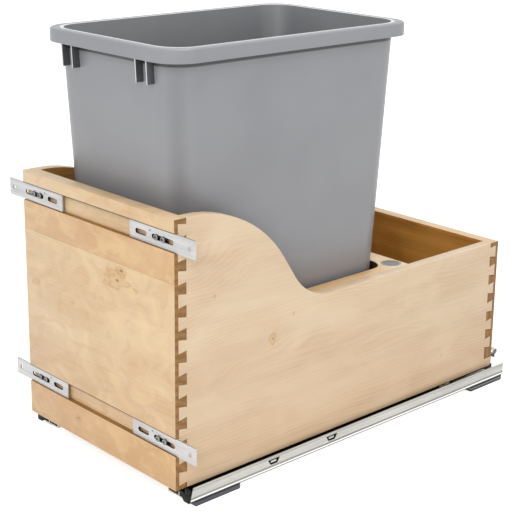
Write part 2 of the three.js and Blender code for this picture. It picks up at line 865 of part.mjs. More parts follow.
// The hook: a foot on the outer wall of the drawer runner, clear of the middle runner that passes
// it, and a strip that rises, loops back and enters the box
function rearHook(side) {
  const shankY = frontY + hookShank;
  const loopZ = hookTop - hookGauge / 2 - hookRadius;
  const half = hookGauge / 2;
  const quarter = Math.PI / 2;
  const outline = [
    [shankY - half, drawerLipZ],
    [shankY + half, drawerLipZ],
    [shankY + half, loopZ - hookRadius - half],
    ...arc(shankY + half, loopZ, hookRadius + half, -quarter, quarter, 12).map(([y, z]) => [y - half, z]),
    [backY - prongDepth, hookTop],
    [backY - prongDepth, hookTop - hookGauge],
    ...arc(shankY, loopZ, hookRadius - half, quarter, -quarter, 10),
    [shankY - half, loopZ - hookRadius + half],
  ];
  const strip = alongX(outline, across(side, hookX - hookWidth / 2, hookX + hookWidth / 2));
  const foot = block(
    across(side, trackX + channelHalf - runnerGauge, hookX),
    [shankY - half, shankY + half],
    [drawerLipZ, drawerLipZ + hookFootHeight],
  );
  return join(strip, foot);
}

// ---- Soft-close units -----------------------------------------------------------------------

const troughX = (trackX + channelHalf + railOuter - runnerGauge) / 2;
const housingEndY = runnerEndY - housingRearInset;
const housingY = housingEndY - housingLength;
const housingZ = runnerFloorZ + fit;
const pocketZ = housingZ + housingWall;
const pocketHalf = housingHalf - housingWall;
const damperZ = pocketZ + fit + damperDiameter / 2;
const damperEndY = housingEndY - housingWall - fit;
const damperY = damperEndY - damperLength;
const catchEndY = damperY - rodOut - fit;
const strikerZ = housingZ + housingHeight + 2 * strikerClearance;

function softCloseHousing(side) {
  const body = block(
    across(side, troughX - housingHalf, troughX + housingHalf),
    [housingY, housingEndY],
    [housingZ, housingZ + housingHeight],
  );
  const pocket = block(
    across(side, troughX - pocketHalf, troughX + pocketHalf),
    [housingY + housingWall, housingEndY - housingWall],
    [pocketZ, housingZ + housingHeight + overcut],
  );
  return cut(body, pocket);
}

function damper(side) {
  const tube = rodY(side * troughX, damperZ, damperDiameter, [damperY, damperEndY], 20);
  const bore = rodY(
    side * troughX,
    damperZ,
    rodDiameter + 2 * fit,
    [damperY - overcut, damperY + damperBoreDepth],
    12,
  );
  return cut(tube, bore);
}

const damperRod = (side) =>
  rodY(side * troughX, damperZ, rodDiameter, [damperY - rodOut, damperY + rodIn], 12);

// The catch has a lip in front of the striker and a lip behind it
function softCloseCatch(side) {
  const half = pocketHalf - fit;
  const topZ = strikerZ - strikerClearance;
  const body = block(
    across(side, troughX - half, troughX + half),
    [catchEndY - catchLength, catchEndY],
    [pocketZ + fit, topZ],
  );
  const notch = block(
    across(side, troughX - half - overcut, troughX + half + overcut),
    [catchEndY - catchLength + catchLip, catchEndY - catchLip],
    [topZ - catchNotchDepth, topZ + overcut],
  );
  return cut(body, notch);
}

function striker(side) {
  const outer = trackX + channelHalf;
  const section = [
    [outer - strikerWidth, strikerZ],
    [troughX + strikerReach, strikerZ],
    [troughX + strikerReach, strikerZ + strikerHeight],
    [outer, strikerZ + strikerHeight],
    [outer, drawerLipZ],
    [outer - strikerWidth, drawerLipZ],
  ];
  const span = [catchEndY - catchLength + catchLip + fit, catchEndY - catchLip - fit];
  return alongY(onSide(side, section), span);
}

// ---- Front catches --------------------------------------------------------------------------

const lockTopZ = bottomZ + fit;
const leverAxisZ = lockTopZ - lockPlate - leverDrop;
const leverAxisY = lockFrontY + lockLength - earLength / 2;
const earZ = leverAxisZ - earLength / 2;

function frontLock(side) {
  const plate = block(
    across(side, lockOuterX - lockWidth, lockOuterX),
    [lockFrontY, lockFrontY + lockLength],
    [lockTopZ - lockPlate, lockTopZ],
  );
  const ears = [lockOuterX - lockWidth, lockOuterX - earGauge].map((x) => block(
    across(side, x, x + earGauge),
    [leverAxisY - earLength / 2, leverAxisY + earLength / 2],
    [earZ, lockTopZ - lockPlate / 2],
  ));
  const pinBore = rodX(
    leverAxisY,
    leverAxisZ,
    leverPinDiameter + 2 * leverPlay,
    across(side, lockOuterX - lockWidth - overcut, lockOuterX + overcut),
  );
  const screwBore = rodZ(
    side * lockMiddleX,
    lockScrewY,
    lockScrewDiameter + 2 * fit,
    [lockTopZ - lockPlate - overcut, lockTopZ + overcut],
  );
  return cut(join(plate, ...ears), pinBore, screwBore);
}

function releaseLever(side) {
  const inner = lockOuterX - lockWidth + earGauge + fit;
  const outer = lockOuterX - earGauge - fit;
  const half = leverThickness / 2;
  const blade = block(
    across(side, inner, outer),
    [leverAxisY - leverLength, leverAxisY],
    [leverAxisZ - half, leverAxisZ + half],
  );
  const hubDiameter = leverPinDiameter + 2 * leverHubWall;
  const hub = rodX(leverAxisY, leverAxisZ, hubDiameter, across(side, inner, outer), 20);
  const bore = rodX(
    leverAxisY,
    leverAxisZ,
    leverPinDiameter + 2 * leverPlay,
    across(side, inner - overcut, outer + overcut),
  );
  return cut(join(blade, hub), bore);
}

const leverPin = (side) =>
  rodX(leverAxisY, leverAxisZ, leverPinDiameter, across(side, lockOuterX - lockWidth, lockOuterX));

// A screw up into the bottom panel, with its head under the plate
function lockScrew(side) {
  const headZ = lockTopZ - lockPlate - fit - lockScrewHeadHeight;
  const tipZ = lockTopZ + lockScrewDepth - fit;
  const x = side * lockMiddleX;
  const head = rodZ(x, lockScrewY, lockScrewHead, [headZ, headZ + lockScrewHeadHeight]);
  const shank = rodZ(x, lockScrewY, lockScrewDiameter, [headZ + weld, tipZ]);
  return join(head, shank);
}

const pieces = [
  ['cabinet_runner', cabinetRunner, zincSteel],
  ['runner_nose', runnerNose, blackPlastic],
  ['front_pad', (side) => runnerPad(side, frontY + frontPadSetback), darkPad],
  ['rear_pad', (side) => runnerPad(side, runnerEndY - rearPadInset - padLength), darkPad],
  ['lower_roller_cage', (side) => rollerCage(side, lowerCageSetback, lowerRoller, runnerFloorZ), nylon],
  ['middle_runner', middleRunner, zincSteel],
  ['upper_roller_cage', (side) => rollerCage(side, upperCageSetback, upperRoller, middleTopZ), nylon],
  ['drawer_runner', drawerRunner, zincSteel],
  ['rear_hook', rearHook, zincSteel],
  ['striker', striker, zincSteel],
  ['soft_close_housing', softCloseHousing, blackPlastic],
  ['damper', damper, zincSteel],
  ['damper_rod', damperRod, zincSteel],
  ['soft_close_catch', softCloseCatch, nylon],
  ['front_lock', frontLock, zincSteel],
  ['release_lever', releaseLever, blackPlastic],
  ['lever_pin', leverPin, zincSteel],
  ['lock_screw', lockScrew, zincSteel],
];
for (const [name, make, material] of pieces) {
  for (const [side, hand] of hands) {
    addPiece(`${name}_${hand}`, make(side), material);
  }
}

export default model;
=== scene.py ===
"""Looks of a pull out trash cabinet: a dovetailed maple box on undermount runners, with its bin."""

import json
import math

import bmesh
import bpy
from mathutils import Matrix, Vector

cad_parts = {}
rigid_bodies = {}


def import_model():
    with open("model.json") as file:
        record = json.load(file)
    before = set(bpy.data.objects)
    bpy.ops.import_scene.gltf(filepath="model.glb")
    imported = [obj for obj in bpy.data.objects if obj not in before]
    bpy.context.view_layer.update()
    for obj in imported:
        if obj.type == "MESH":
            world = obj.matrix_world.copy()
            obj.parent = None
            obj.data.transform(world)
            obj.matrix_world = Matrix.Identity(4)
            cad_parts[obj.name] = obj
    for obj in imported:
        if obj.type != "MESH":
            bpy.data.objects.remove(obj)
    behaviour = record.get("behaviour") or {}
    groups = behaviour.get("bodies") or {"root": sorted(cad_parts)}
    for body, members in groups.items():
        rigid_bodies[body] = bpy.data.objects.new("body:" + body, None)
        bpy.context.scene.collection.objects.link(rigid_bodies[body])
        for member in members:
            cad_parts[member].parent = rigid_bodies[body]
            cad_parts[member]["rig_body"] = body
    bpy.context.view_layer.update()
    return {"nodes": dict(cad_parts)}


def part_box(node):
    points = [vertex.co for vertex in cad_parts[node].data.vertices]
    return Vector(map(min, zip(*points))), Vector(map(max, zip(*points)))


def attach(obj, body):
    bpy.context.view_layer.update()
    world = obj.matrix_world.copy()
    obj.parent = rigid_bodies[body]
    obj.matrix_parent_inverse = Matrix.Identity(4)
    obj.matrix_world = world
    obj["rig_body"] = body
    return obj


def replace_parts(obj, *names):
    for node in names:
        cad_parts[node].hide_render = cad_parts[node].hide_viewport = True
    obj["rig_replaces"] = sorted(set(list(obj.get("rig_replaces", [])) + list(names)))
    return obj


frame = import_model()

# Front panel of the box, 16 mm maple glued up from boards of different tone, with the grain lying
# across. Two shallow grooves are routed across its face for the door plates, and its ends show end
# grain between the tails of the sides.
mm = 0.001
front_low, front_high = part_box("front_panel")
front_y = front_low.y
box_z = front_low.z
ring_spacing = 4.6 * mm


def paint(red, green, blue):
    """A colour as it is seen on the photograph, from 0 to 255, as linear light."""
    shares = [value / 255 for value in (red, green, blue)]
    linear = [s / 12.92 if s <= 0.04045 else ((s + 0.055) / 1.055) ** 2.4 for s in shares]
    return (*linear, 1)


def node(tree, kind, settings=None, **inputs):
    """A shader node with its settings, and with sockets set or fed; a digit is a socket's place."""
    made = tree.nodes.new("ShaderNode" + kind)
    for name, value in (settings or {}).items():
        setattr(made, name, value)
    for name, value in inputs.items():
        name = name.strip("_")
        socket = made.inputs[int(name) if name.isdigit() else name.replace("_", " ")]
        if isinstance(value, bpy.types.NodeSocket):
            tree.links.new(value, socket)
        else:
            socket.default_value = value
    return made


def blend_colours(tree, share, first, second, way="MIX"):
    settings = {"data_type": "RGBA", "blend_type": way, "clamp_result": True}
    return node(tree, "Mix", settings, _0=share, _6=first, _7=second).outputs[2]


def reach(tree, value, low, high, to_low=0.0, to_high=1.0):
    """The value between two limits, spread over a new range."""
    made = node(tree, "MapRange", {"interpolation_type": "SMOOTHSTEP"}, Value=value)
    limits = {"From Min": low, "From Max": high, "To Min": to_low, "To Max": to_high}
    for name, limit in limits.items():
        made.inputs[name].default_value = limit
    return made.outputs["Result"]


def sums(tree, way, first, second=0.0):
    return node(tree, "Math", {"operation": way}, _0=first, _1=second).outputs[0]


def vectors(tree, way, first, second=(0, 0, 0)):
    return node(tree, "VectorMath", {"operation": way}, _0=first, _1=second).outputs


def height_in(tree, place):
    return node(tree, "SeparateXYZ", Vector=place).outputs["Z"]


def new_group(name, inputs, outputs):
    """An empty shader group; it returns the group, what comes in, and the node that puts out."""
    group = bpy.data.node_groups.new(name, "ShaderNodeTree")
    for direction, sockets in (("INPUT", inputs), ("OUTPUT", outputs)):
        for socket, kind in sockets.items():
            group.interface.new_socket(socket, in_out=direction, socket_type="NodeSocket" + kind)
    return group, group.nodes.new("NodeGroupInput").outputs, group.nodes.new("NodeGroupOutput")


def put_out(group, end, **values):
    for name, value in values.items():
        group.links.new(value, end.inputs[name])
    return group


def placed(tree, group, **values):
    return node(tree, "Group", {"node_tree": group}, **values).outputs


def new_material(name):
    """A material's tree, its Principled shader, and the object's own coordinates."""
    material = bpy.data.materials.new(name)
    material.use_nodes = True
    tree = material.node_tree
    return material, tree, tree.nodes["Principled BSDF"], node(tree, "TexCoord").outputs["Object"]


def lay_skin(tree, shader, skin, relief, depth, marking=None, place=None):
    """Feeds a skin's colour, gloss and relief to the shader, with the marking on the colour."""
    colour = marking(tree, place, skin["Color"]) if marking else skin["Color"]
    tree.links.new(colour, shader.inputs["Base Color"])
    if "Gloss" in skin:
        tree.links.new(skin["Gloss"], shader.inputs["Roughness"])
    bump = node(tree, "Bump", Height=skin["Relief"], Strength=relief, Distance=depth)
    tree.links.new(bump.outputs["Normal"], shader.inputs["Normal"])


def stretched_noise(tree, place, scales, detail=2.0, distortion=0.0):
    spread = vectors(tree, "MULTIPLY", place, scales)[0]
    noise = node(tree, "TexNoise", Vector=spread, Scale=1.0, Detail=detail, Distortion=distortion)
    return noise.outputs["Fac"]


skin_outputs = {"Color": "Color", "Gloss": "Float", "Relief": "Float"}


def wood_figure():
    """Grain of a sawn board. The vector runs along the grain, across it, and through the board."""
    inputs = {"Grain": "Vector", "Pale": "Color", "Dark": "Color", "Figure": "Float"}
    group, start, end = new_group("wood figure", inputs, skin_outputs)
    grain = start["Grain"]
    broad = stretched_noise(group, grain, (2.0, 16, 7), 3, 0.6)
    patch = stretched_noise(group, grain, (9, 17, 9), 2, 0.8)
    bend = stretched_noise(group, grain, (2.4, 7, 4), 2, 0.5)
    level = node(group, "SeparateXYZ", Vector=grain).outputs["Y"]
    level = sums(group, "ADD", level, sums(group, "MULTIPLY", bend, 0.12))
    wave = sums(group, "SINE", sums(group, "MULTIPLY", level, 2 * math.pi / ring_spacing))
    strength = reach(group, patch, 0.35, 0.65, 0.2, 1.0)
    rings = sums(group, "MULTIPLY", reach(group, wave, 0.0, 1.0), strength)
    lines = sums(group, "MULTIPLY", rings, start["Figure"])
    fibre = stretched_noise(group, grain, (14, 800, 240), 3)
    flecks = reach(group, stretched_noise(group, grain, (70, 900, 400), 1), 0.64, 0.74)
    tone = reach(group, broad, 0.3, 0.72, 0.0, 0.42)
    for more in (
        sums(group, "MULTIPLY", lines, 0.34),
        reach(group, patch, 0.32, 0.7, -0.1, 0.22),
        reach(group, fibre, 0.3, 0.7, -0.07, 0.11),
        sums(group, "MULTIPLY", flecks, 0.22),
    ):
        tone = sums(group, "ADD", tone, more)
    colour = blend_colours(group, tone, start["Pale"], start["Dark"])
    gloss = reach(group, fibre, 0.3, 0.7, 0.36, 0.48)
    relief = sums(group, "SUBTRACT", fibre, sums(group, "MULTIPLY", flecks, 0.5))
    return put_out(group, end, Color=colour, Gloss=gloss, Relief=relief)


figure_of_wood = wood_figure()


def turned_grain(tree, place, along, across, shift):
    """Coordinates with the grain first, then the board's width, then its thickness."""
    moved = vectors(tree, "ADD", place, (shift, shift * 0.7, shift * 1.3))[0]
    split = node(tree, "SeparateXYZ", Vector=moved).outputs
    through = ({"X", "Y", "Z"} - {along, across}).pop()
    return node(tree, "CombineXYZ", X=split[along], Y=split[across], Z=split[through]).outputs[0]


def wooden(name, along, across, pale, dark, shift=0.0, figure=1.0, marking=None):
    """Clear lacquered wood; marking may change the colour by the place on the board."""
    material, tree, shader, place = new_material(name)
    grain = turned_grain(tree, place, along, across, shift)
    skin = placed(tree, figure_of_wood, Grain=grain, Pale=pale, Dark=dark, Figure=figure)
    lay_skin(tree, shader, skin, 0.12, 0.3 * mm, marking, place)
    return material


def sawn_ends():
    """Sawn end grain: arcs of growth rings and fine pores."""
    inputs = {"Place": "Vector", "Pale": "Color", "Dark": "Color"}
    group, start, end = new_group("end grain", inputs, {"Color": "Color", "Relief": "Float"})
    place = start["Place"]
    rings = node(
        group,
        "TexWave",
        {"wave_type": "RINGS", "rings_direction": "X"},
        Vector=vectors(group, "ADD", place, (0, 0.31, -0.02))[0],
        Scale=34.0,
        Distortion=3.0,
        Detail=2.0,
        Detail_Scale=6.0,
    ).outputs["Fac"]
    pores = stretched_noise(group, place, (400, 1500, 1500), 2)
    tone = sums(group, "MULTIPLY", rings, 0.45)
    tone = sums(group, "ADD", tone, reach(group, pores, 0.35, 0.7, 0.0, 0.55))
    colour = blend_colours(group, tone, start["Pale"], start["Dark"])
    return put_out(group, end, Color=colour, Relief=pores)


figure_of_ends = sawn_ends()


def end_grained(name, pale, dark):
    """End grain under thin lacquer, browner and duller than the face of the board."""
    material, tree, shader, place = new_material(name)
    skin = placed(tree, figure_of_ends, Place=place, Pale=pale, Dark=dark)
    shader.inputs["Roughness"].default_value = 0.6
    lay_skin(tree, shader, skin, 0.15, 0.3 * mm)
    return material


def thin_line():
    """A mask that is strong at one level of a value and fades on both sides of it."""
    inputs = dict.fromkeys(("Value", "Level", "Core", "Fade", "Strength"), "Float")
    group, start, end = new_group("thin line", inputs, {"Mask": "Float"})
    off = sums(group, "SUBTRACT", start["Value"], start["Level"])
    made = node(group, "MapRange", Value=sums(group, "ABSOLUTE", off), To_Max=0.0)
    for socket, name in (("From Min", "Core"), ("From Max", "Fade"), ("To Min", "Strength")):
        group.links.new(start[name], made.inputs[socket])
    return put_out(group, end, Mask=made.outputs["Result"])


mask_of_line = thin_line()


def line_at(tree, value, level, core, fade, strength):
    places = {"Value": value, "Level": level, "Core": core, "Fade": fade, "Strength": strength}
    return placed(tree, mask_of_line, **places)["Mask"]


def pin_knot():
    """A small knot: a dark core, a ring of turned grain and a brown halo, all a little ragged."""
    inputs = {"Color": "Color", "Place": "Vector", "Centre": "Vector", "Radius": "Float"}
    group, start, end = new_group("pin knot", inputs, {"Color": "Color"})
    ragged = node(group, "TexNoise", Vector=start["Place"], Scale=110.0, Detail=2.0).outputs["Fac"]
    away = vectors(group, "DISTANCE", start["Place"], start["Centre"])["Value"]
    far = sums(group, "DIVIDE", away, start["Radius"])
    far = sums(group, "ADD", far, reach(group, ragged, 0.3, 0.7, -0.7, 0.7))
    ring = sums(group, "ABSOLUTE", sums(group, "SUBTRACT", far, 1.5))
    near = reach(group, away, 1 * mm, 2.2 * mm, 0.7, 0.0)
    core = sums(group, "MINIMUM", reach(group, far, 0.0, 0.5, 0.7, 0.0), near)
    colour = start["Color"]
    for share, brown in (
        (reach(group, far, 0.6, 3.0, 0.36, 0.0), paint(208, 166, 104)),
        (reach(group, ring, 0.05, 0.45, 0.3, 0.0), paint(186, 134, 68)),
        (core, paint(140, 84, 34)),
    ):
        colour = blend_colours(group, share, colour, brown)
    return put_out(group, end, Color=colour)


one_knot = pin_knot()


def knotted(tree, place, colour, squeeze, spots):
    """Lays knots at their places; squeeze flattens the thickness and draws the knots longer."""
    flat = vectors(tree, "MULTIPLY", place, squeeze)[0]
    for centre, radius in spots:
        centre = tuple(value * share for value, share in zip(centre, squeeze))
        values = {"Color": colour, "Place": flat, "Centre": centre, "Radius": radius}
        colour = placed(tree, one_knot, **values)["Color"]
    return colour


groove_height = 20.6 * mm
groove_depth = 6.4 * mm
low_groove = box_z + 50.8 * mm
high_groove = box_z + 279.4 * mm
low_glue_line = box_z + 104 * mm
high_glue_line = box_z + 235 * mm
# Across the panel and up it, and the radius, in millimetres.
front_knots = (
    (-121, 173, 2.4),
    (41, 215, 6.0),
    (49, 228, 2.8),
    (21, 208, 1.8),
    (74, 211, 1.8),
    (-45, 166, 1.2),
    (-40, 24, 1.8),
)


def glued_boards(tree, place, colour):
    """Browner boards below both grooves, glue lines, clouds, pin knots, painted light in each
    groove and painted shadow along its top edge.
    """
    height = height_in(tree, place)
    above = reach(tree, height, high_glue_line - 0.2 * mm, high_glue_line + 0.2 * mm)
    groove_foot = high_groove - 0.5 * groove_height
    below = reach(tree, height, groove_foot, groove_foot + 0.1 * groove_height, 1.0, 0.0)
    upper = sums(tree, "MULTIPLY", sums(tree, "MULTIPLY", above, below), 0.75)
    colour = blend_colours(tree, upper, colour, paint(241, 221, 203), "MULTIPLY")
    groove_foot = low_groove - 0.5 * groove_height
    lower = reach(tree, height, groove_foot - 0.05 * groove_height, groove_foot, 1.0, 0.0)
    lower = sums(tree, "MULTIPLY", lower, 0.75)
    colour = blend_colours(tree, lower, colour, paint(243, 226, 203), "MULTIPLY")
    under = reach(tree, height, low_glue_line - 0.3 * mm, low_glue_line + 0.3 * mm, 0.35, 0.0)
    colour = blend_colours(tree, under, colour, paint(247, 232, 222), "MULTIPLY")
    glue = line_at(tree, height, high_glue_line, 0.15 * mm, 0.5 * mm, 0.4)
    colour = blend_colours(tree, glue, colour, paint(150, 105, 70))
    cloud = stretched_noise(tree, place, (26, 26, 38), 4, 1.2)
    bright = reach(tree, cloud, 0.48, 0.72, 0.0, 0.4)
    colour = blend_colours(tree, bright, colour, paint(246, 218, 162))
    dull = reach(tree, cloud, 0.36, 0.48, 0.3, 0.0)
    colour = blend_colours(tree, dull, colour, paint(213, 170, 112))
    for groove in (low_groove, high_groove):
        top = groove + groove_height / 2
        # Painted light: a golden line inside the groove, below its top edge.
        lit = line_at(tree, height, top - 3.4 * mm, 0.3 * mm, 1.0 * mm, 0.5)
        colour = blend_colours(tree, lit, colour, paint(206, 152, 70))
        # Painted shadow: a dark line along the top edge of the groove.
        edge = line_at(tree, height, top + 0.4 * mm, 0.45 * mm, 0.9 * mm, 0.9)
        colour = blend_colours(tree, edge, colour, paint(70, 46, 24))
    spots = [((x * mm, 0, z * mm + box_z), radius * mm) for x, z, radius in front_knots]
    return knotted(tree, place, colour, (0.55, 0, 1), spots)


def work_on(piece):
    """Deselects everything and makes one piece the active one."""
    bpy.ops.object.select_all(action="DESELECT")
    piece.select_set(True)
    bpy.context.view_layer.objects.active = piece


def apply_modifier(piece, name, kind, **settings):
    work_on(piece)
    modifier = piece.modifiers.new(name, kind)
    for setting, value in settings.items():
        setattr(modifier, setting, value)
    bpy.ops.object.modifier_apply(modifier=name)


def ease(piece, name, width, segments=2, sharper_than=30):
    """Bevels the edges that are sharper than an angle in degrees."""
    limit = math.radians(sharper_than)
    apply_modifier(piece, name, "BEVEL", width=width, segments=segments, angle_limit=limit)


def finished(piece, body, slot, *nodes):
    """Smooths a piece by its angles and fixes it on its body in place of its nodes."""
    work_on(piece)
    bpy.ops.object.shade_smooth_by_angle(angle=math.radians(32))
    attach(piece, body)
    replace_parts(piece, *nodes)
    return piece


def give(piece, materials):
    for material in materials:
        piece.data.materials.append(material)


def dressed(name, slot, material, edge, segments=2, extra=()):
    """A copy of a solid with its faces joined, its edges eased and its material on."""
    solid = frame["nodes"][name]
    piece = bpy.data.objects.new(name + "_dressed", solid.data.copy())
    bpy.context.collection.objects.link(piece)
    work_on(piece)
    bpy.ops.object.mode_set(mode="EDIT")
    bpy.ops.mesh.select_all(action="SELECT")
    bpy.ops.mesh.remove_doubles(threshold=0.01 * mm)
    bpy.ops.mesh.dissolve_limited(angle_limit=math.radians(1))
    bpy.ops.object.mode_set(mode="OBJECT")
    piece.data.materials.clear()
    give(piece, (material, *extra))
    if edge:
        ease(piece, "eased edges", edge, segments)
    return finished(piece, solid["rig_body"], slot, name)


def repaint(piece, material, chosen):
    """Gives one of the piece's materials to the faces that are chosen."""
    place = list(piece.data.materials).index(material)
    for face in piece.data.polygons:
        if chosen(face.center, face.normal):
            face.material_index = place


back_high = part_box("back_panel")[1]
box_rear = back_high.y
joint_length = 17 * mm
joint_margin = 1.2 * mm


def on_joint(centre, normal):
    """The eased edges round the pins and tails, at both ends of the box."""
    end = min(centre.y - front_y, box_rear - centre.y)
    top = front_high.z if centre.y < 0 else back_high.z
    between = box_z + joint_margin < centre.z < top - joint_margin
    return end < joint_length and between and 0.25 < abs(normal.x) < 0.97 and abs(normal.z) > 0.2


def on_end(centre, normal):
    return abs(normal.x) > 0.8


def in_groove(centre, normal):
    """The upper and lower walls of the two routed grooves."""
    off = min(abs(centre.z - low_groove), abs(centre.z - high_groove))
    routed = abs(off - groove_height / 2) < mm and centre.y < front_y + groove_depth
    return routed and abs(normal.z) > 0.9


maples = (paint(238, 210, 171), paint(215, 178, 134))
routed_browns = (paint(172, 124, 58), paint(118, 78, 34))
shaded_browns = (paint(214, 152, 70), paint(158, 100, 34))
front_maple = wooden("front maple", "X", "Z", *maples, 0.31, 0.35, glued_boards)
end_maple = end_grained("end grain", paint(170, 125, 68), paint(114, 77, 33))
routed_maple = wooden("routed maple", "X", "Y", *routed_browns, 0.2, 0.4)
joint_line = end_grained("glue in the joints", paint(88, 54, 26), paint(60, 36, 18))
shaded_maple = wooden("shaded maple", "X", "Z", *shaded_browns, 0.93, 0.9)
front_finishes = (end_maple, routed_maple, joint_line, shaded_maple)
front = dressed("front_panel", "maple", front_maple, 0.6 * mm, extra=front_finishes)
repaint(front, end_maple, on_end)
repaint(front, routed_maple, in_groove)
repaint(front, joint_line, on_joint)
# The inner face is painted deep brown, as painted shade.
repaint(front, shaded_maple, lambda centre, normal: normal.y > 0.9)

# Back panel, of the same maple. It is lower, and only its inner face and its top edge show above
# the platform; its inner face is painted a deep orange brown, as painted shade of the box.
back_maple = wooden("back maple", "X", "Z", *maples, 0.93, 0.8)
back_finishes = (end_maple, shaded_maple, joint_line)
back = dressed("back_panel", "maple", back_maple, 0.6 * mm, extra=back_finishes)
repaint(back, end_maple, on_end)
# Painted shade on the inner face.
repaint(back, shaded_maple, lambda centre, normal: normal.y < -0.9)
repaint(back, joint_line, on_joint)

# Side panels, maple, cut in a sweep from the height of the front down to the low rear part, with
# the tails of the dovetails at both ends. The swept edge is eased by hand and painted pale, as a
# painted highlight, and the inner face is painted brown, as painted shade.
sides = {"right": 1, "left": -1}
# From the front and up, and the radius, in millimetres.
side_knots = ((142, 141, 3.4), (55, 210, 1.2), (440, 42, 1.0), (173, 163, 0.9))


def shade_and_knots_on_side(tree, place, colour):
    """Painted shade, a little darker towards the bottom of the side, and a few knots lie in the
    side.
    """
    lower = reach(tree, height_in(tree, place), box_z + 20 * mm, box_z + 190 * mm, 1.0, 0.0)
    colour = blend_colours(tree, lower, colour, paint(246, 241, 235), "MULTIPLY")
    spots = [((0, front_y + y * mm, box_z + z * mm), radius * mm) for y, z, radius in side_knots]
    return knotted(tree, place, colour, (0, 1, 0.8), spots)


def on_sweep(centre, normal):
    return 0.2 < abs(normal.x) < 0.97 and normal.z > 0.1


side_maples = (paint(235, 211, 179), paint(214, 181, 144))
sweep_highlight_colours = (paint(252, 240, 216), paint(246, 228, 198))
inner_browns = (paint(168, 120, 58), paint(122, 80, 32))
side_maple = wooden("side maple", "Y", "Z", *side_maples, 0.57, 0.62, shade_and_knots_on_side)
sweep_highlight_maple = wooden("sweep highlight maple", "Y", "Z", *sweep_highlight_colours, 0.57, 0.2)
shaded_side = wooden("shaded side maple", "Y", "Z", *inner_browns, 1.31, 0.9)
side_finishes = (joint_line, shaded_side, sweep_highlight_maple)
for side, outward in sides.items():
    panel = dressed(f"side_panel_{side}", "maple", side_maple, 0.7 * mm, extra=side_finishes)
    # Painted shade: the inner face is painted brown.
    repaint(panel, shaded_side, lambda centre, normal: normal.x * outward < -0.9)
    # Painted highlight along the swept edge.
    repaint(panel, sweep_highlight_maple, on_sweep)
    repaint(panel, joint_line, on_joint)

# Bottom panel of thin plywood, slid into a groove of the sides and the front. The bin stands on
# it, and it shows only from above when the bin is out.
ply_colours = (paint(226, 200, 160), paint(190, 155, 110))
bottom_ply = wooden("bottom plywood", "Y", "X", *ply_colours, 1.7, 1.0)
dressed("bottom_panel", "plywood", bottom_ply, 0.3 * mm)

# Platform that holds the bin, maple plywood with a cut-out for the bin, screwed to a maple cleat
# along each side. The sawn edge of the cut-out is painted dark brown, and the strips beside the bin
# a warmer brown, both as painted shade.
cut_half = 112 * mm
cut_rear = 80 * mm


def shade_beside_bin(tree, place, colour):
    """Painted shade: the strips beside the bin are a warmer brown than the part behind it."""
    split = node(tree, "SeparateXYZ", Vector=place).outputs
    strip = reach(tree, sums(tree, "ABSOLUTE", split["X"]), 98 * mm, 104 * mm)
    strip = sums(tree, "MULTIPLY", strip, reach(tree, split["Y"], 55 * mm, 80 * mm, 1.0, 0.0))
    return blend_colours(tree, strip, colour, paint(252, 232, 208), "MULTIPLY")


def in_cut_out(centre, normal):
    return abs(normal.z) < 0.3 and abs(centre.x) < cut_half and centre.y < cut_rear


platform_colours = (paint(245, 222, 186), paint(224, 194, 152))
cut_shade_browns = (paint(88, 62, 38), paint(52, 34, 18))
platform_maple = wooden("platform maple", "Y", "X", *platform_colours, 2.4, 0.6, shade_beside_bin)
cut_edge_shade = wooden("cut edge shade", "Y", "X", *cut_shade_browns, 3.1, 0.4)
platform = dressed("bin_platform", "plywood", platform_maple, 0.8 * mm, extra=(cut_edge_shade,))
# Painted shade on the edge of the cut-out.
repaint(platform, cut_edge_shade, in_cut_out)
for side in sides:
    dressed(f"platform_cleat_{side}", "maple", side_maple, 0.4 * mm)

# Round grey plastic caps, pressed over the screws that hold the platform, one near each rear
# corner. Each has a dished face inside a paler raised rim.
cap_rim = 1.6 * mm
cap_slope = 1.2 * mm
cap_dish = 0.9 * mm


def moulded_skin():
    """The skin of moulded plastic: a slight change of tone, and a fine even texture."""
    inputs = {"Place": "Vector", "Pale": "Color", "Dark": "Color"}
    inputs |= {"Grit": "Float", "Roughness": "Float"}
    group, start, end = new_group("moulded skin", inputs, skin_outputs)
    place = start["Place"]
    cloud = node(group, "TexNoise", Vector=place, Scale=9.0, Detail=2.0).outputs["Fac"]
    tone = reach(group, cloud, 0.35, 0.7)
    colour = blend_colours(group, tone, start["Pale"], start["Dark"])
    grit = node(group, "TexNoise", Vector=place, Scale=start["Grit"], Detail=2.0).outputs["Fac"]
    gloss = sums(group, "ADD", start["Roughness"], reach(group, grit, 0.3, 0.7, -0.05, 0.06))
    return put_out(group, end, Color=colour, Gloss=gloss, Relief=grit)


skin_of_plastic = moulded_skin()


def moulded(name, pale, dark, roughness, relief=0.1, grit=900.0, marking=None, shine=0.5):
    """Moulded plastic; marking may change the colour by the place on the piece."""
    material, tree, shader, place = new_material(name)
    values = {"Place": place, "Pale": pale, "Dark": dark, "Grit": grit, "Roughness": roughness}
    skin = placed(tree, skin_of_plastic, **values)
    shader.inputs["Specular IOR Level"].default_value = shine
    lay_skin(tree, shader, skin, relief, 0.2 * mm, marking, place)
    return material


def new_piece(name, primitive, **settings):
    """A primitive as an object of its own, in edit mode with nothing selected."""
    bpy.ops.object.select_all(action="DESELECT")
    primitive(**settings)
    piece = bpy.context.active_object
    piece.name = name
    bpy.ops.object.transform_apply(location=True, rotation=True, scale=True)
    bpy.ops.object.mode_set(mode="EDIT")
    bpy.ops.mesh.select_all(action="DESELECT")
    return piece


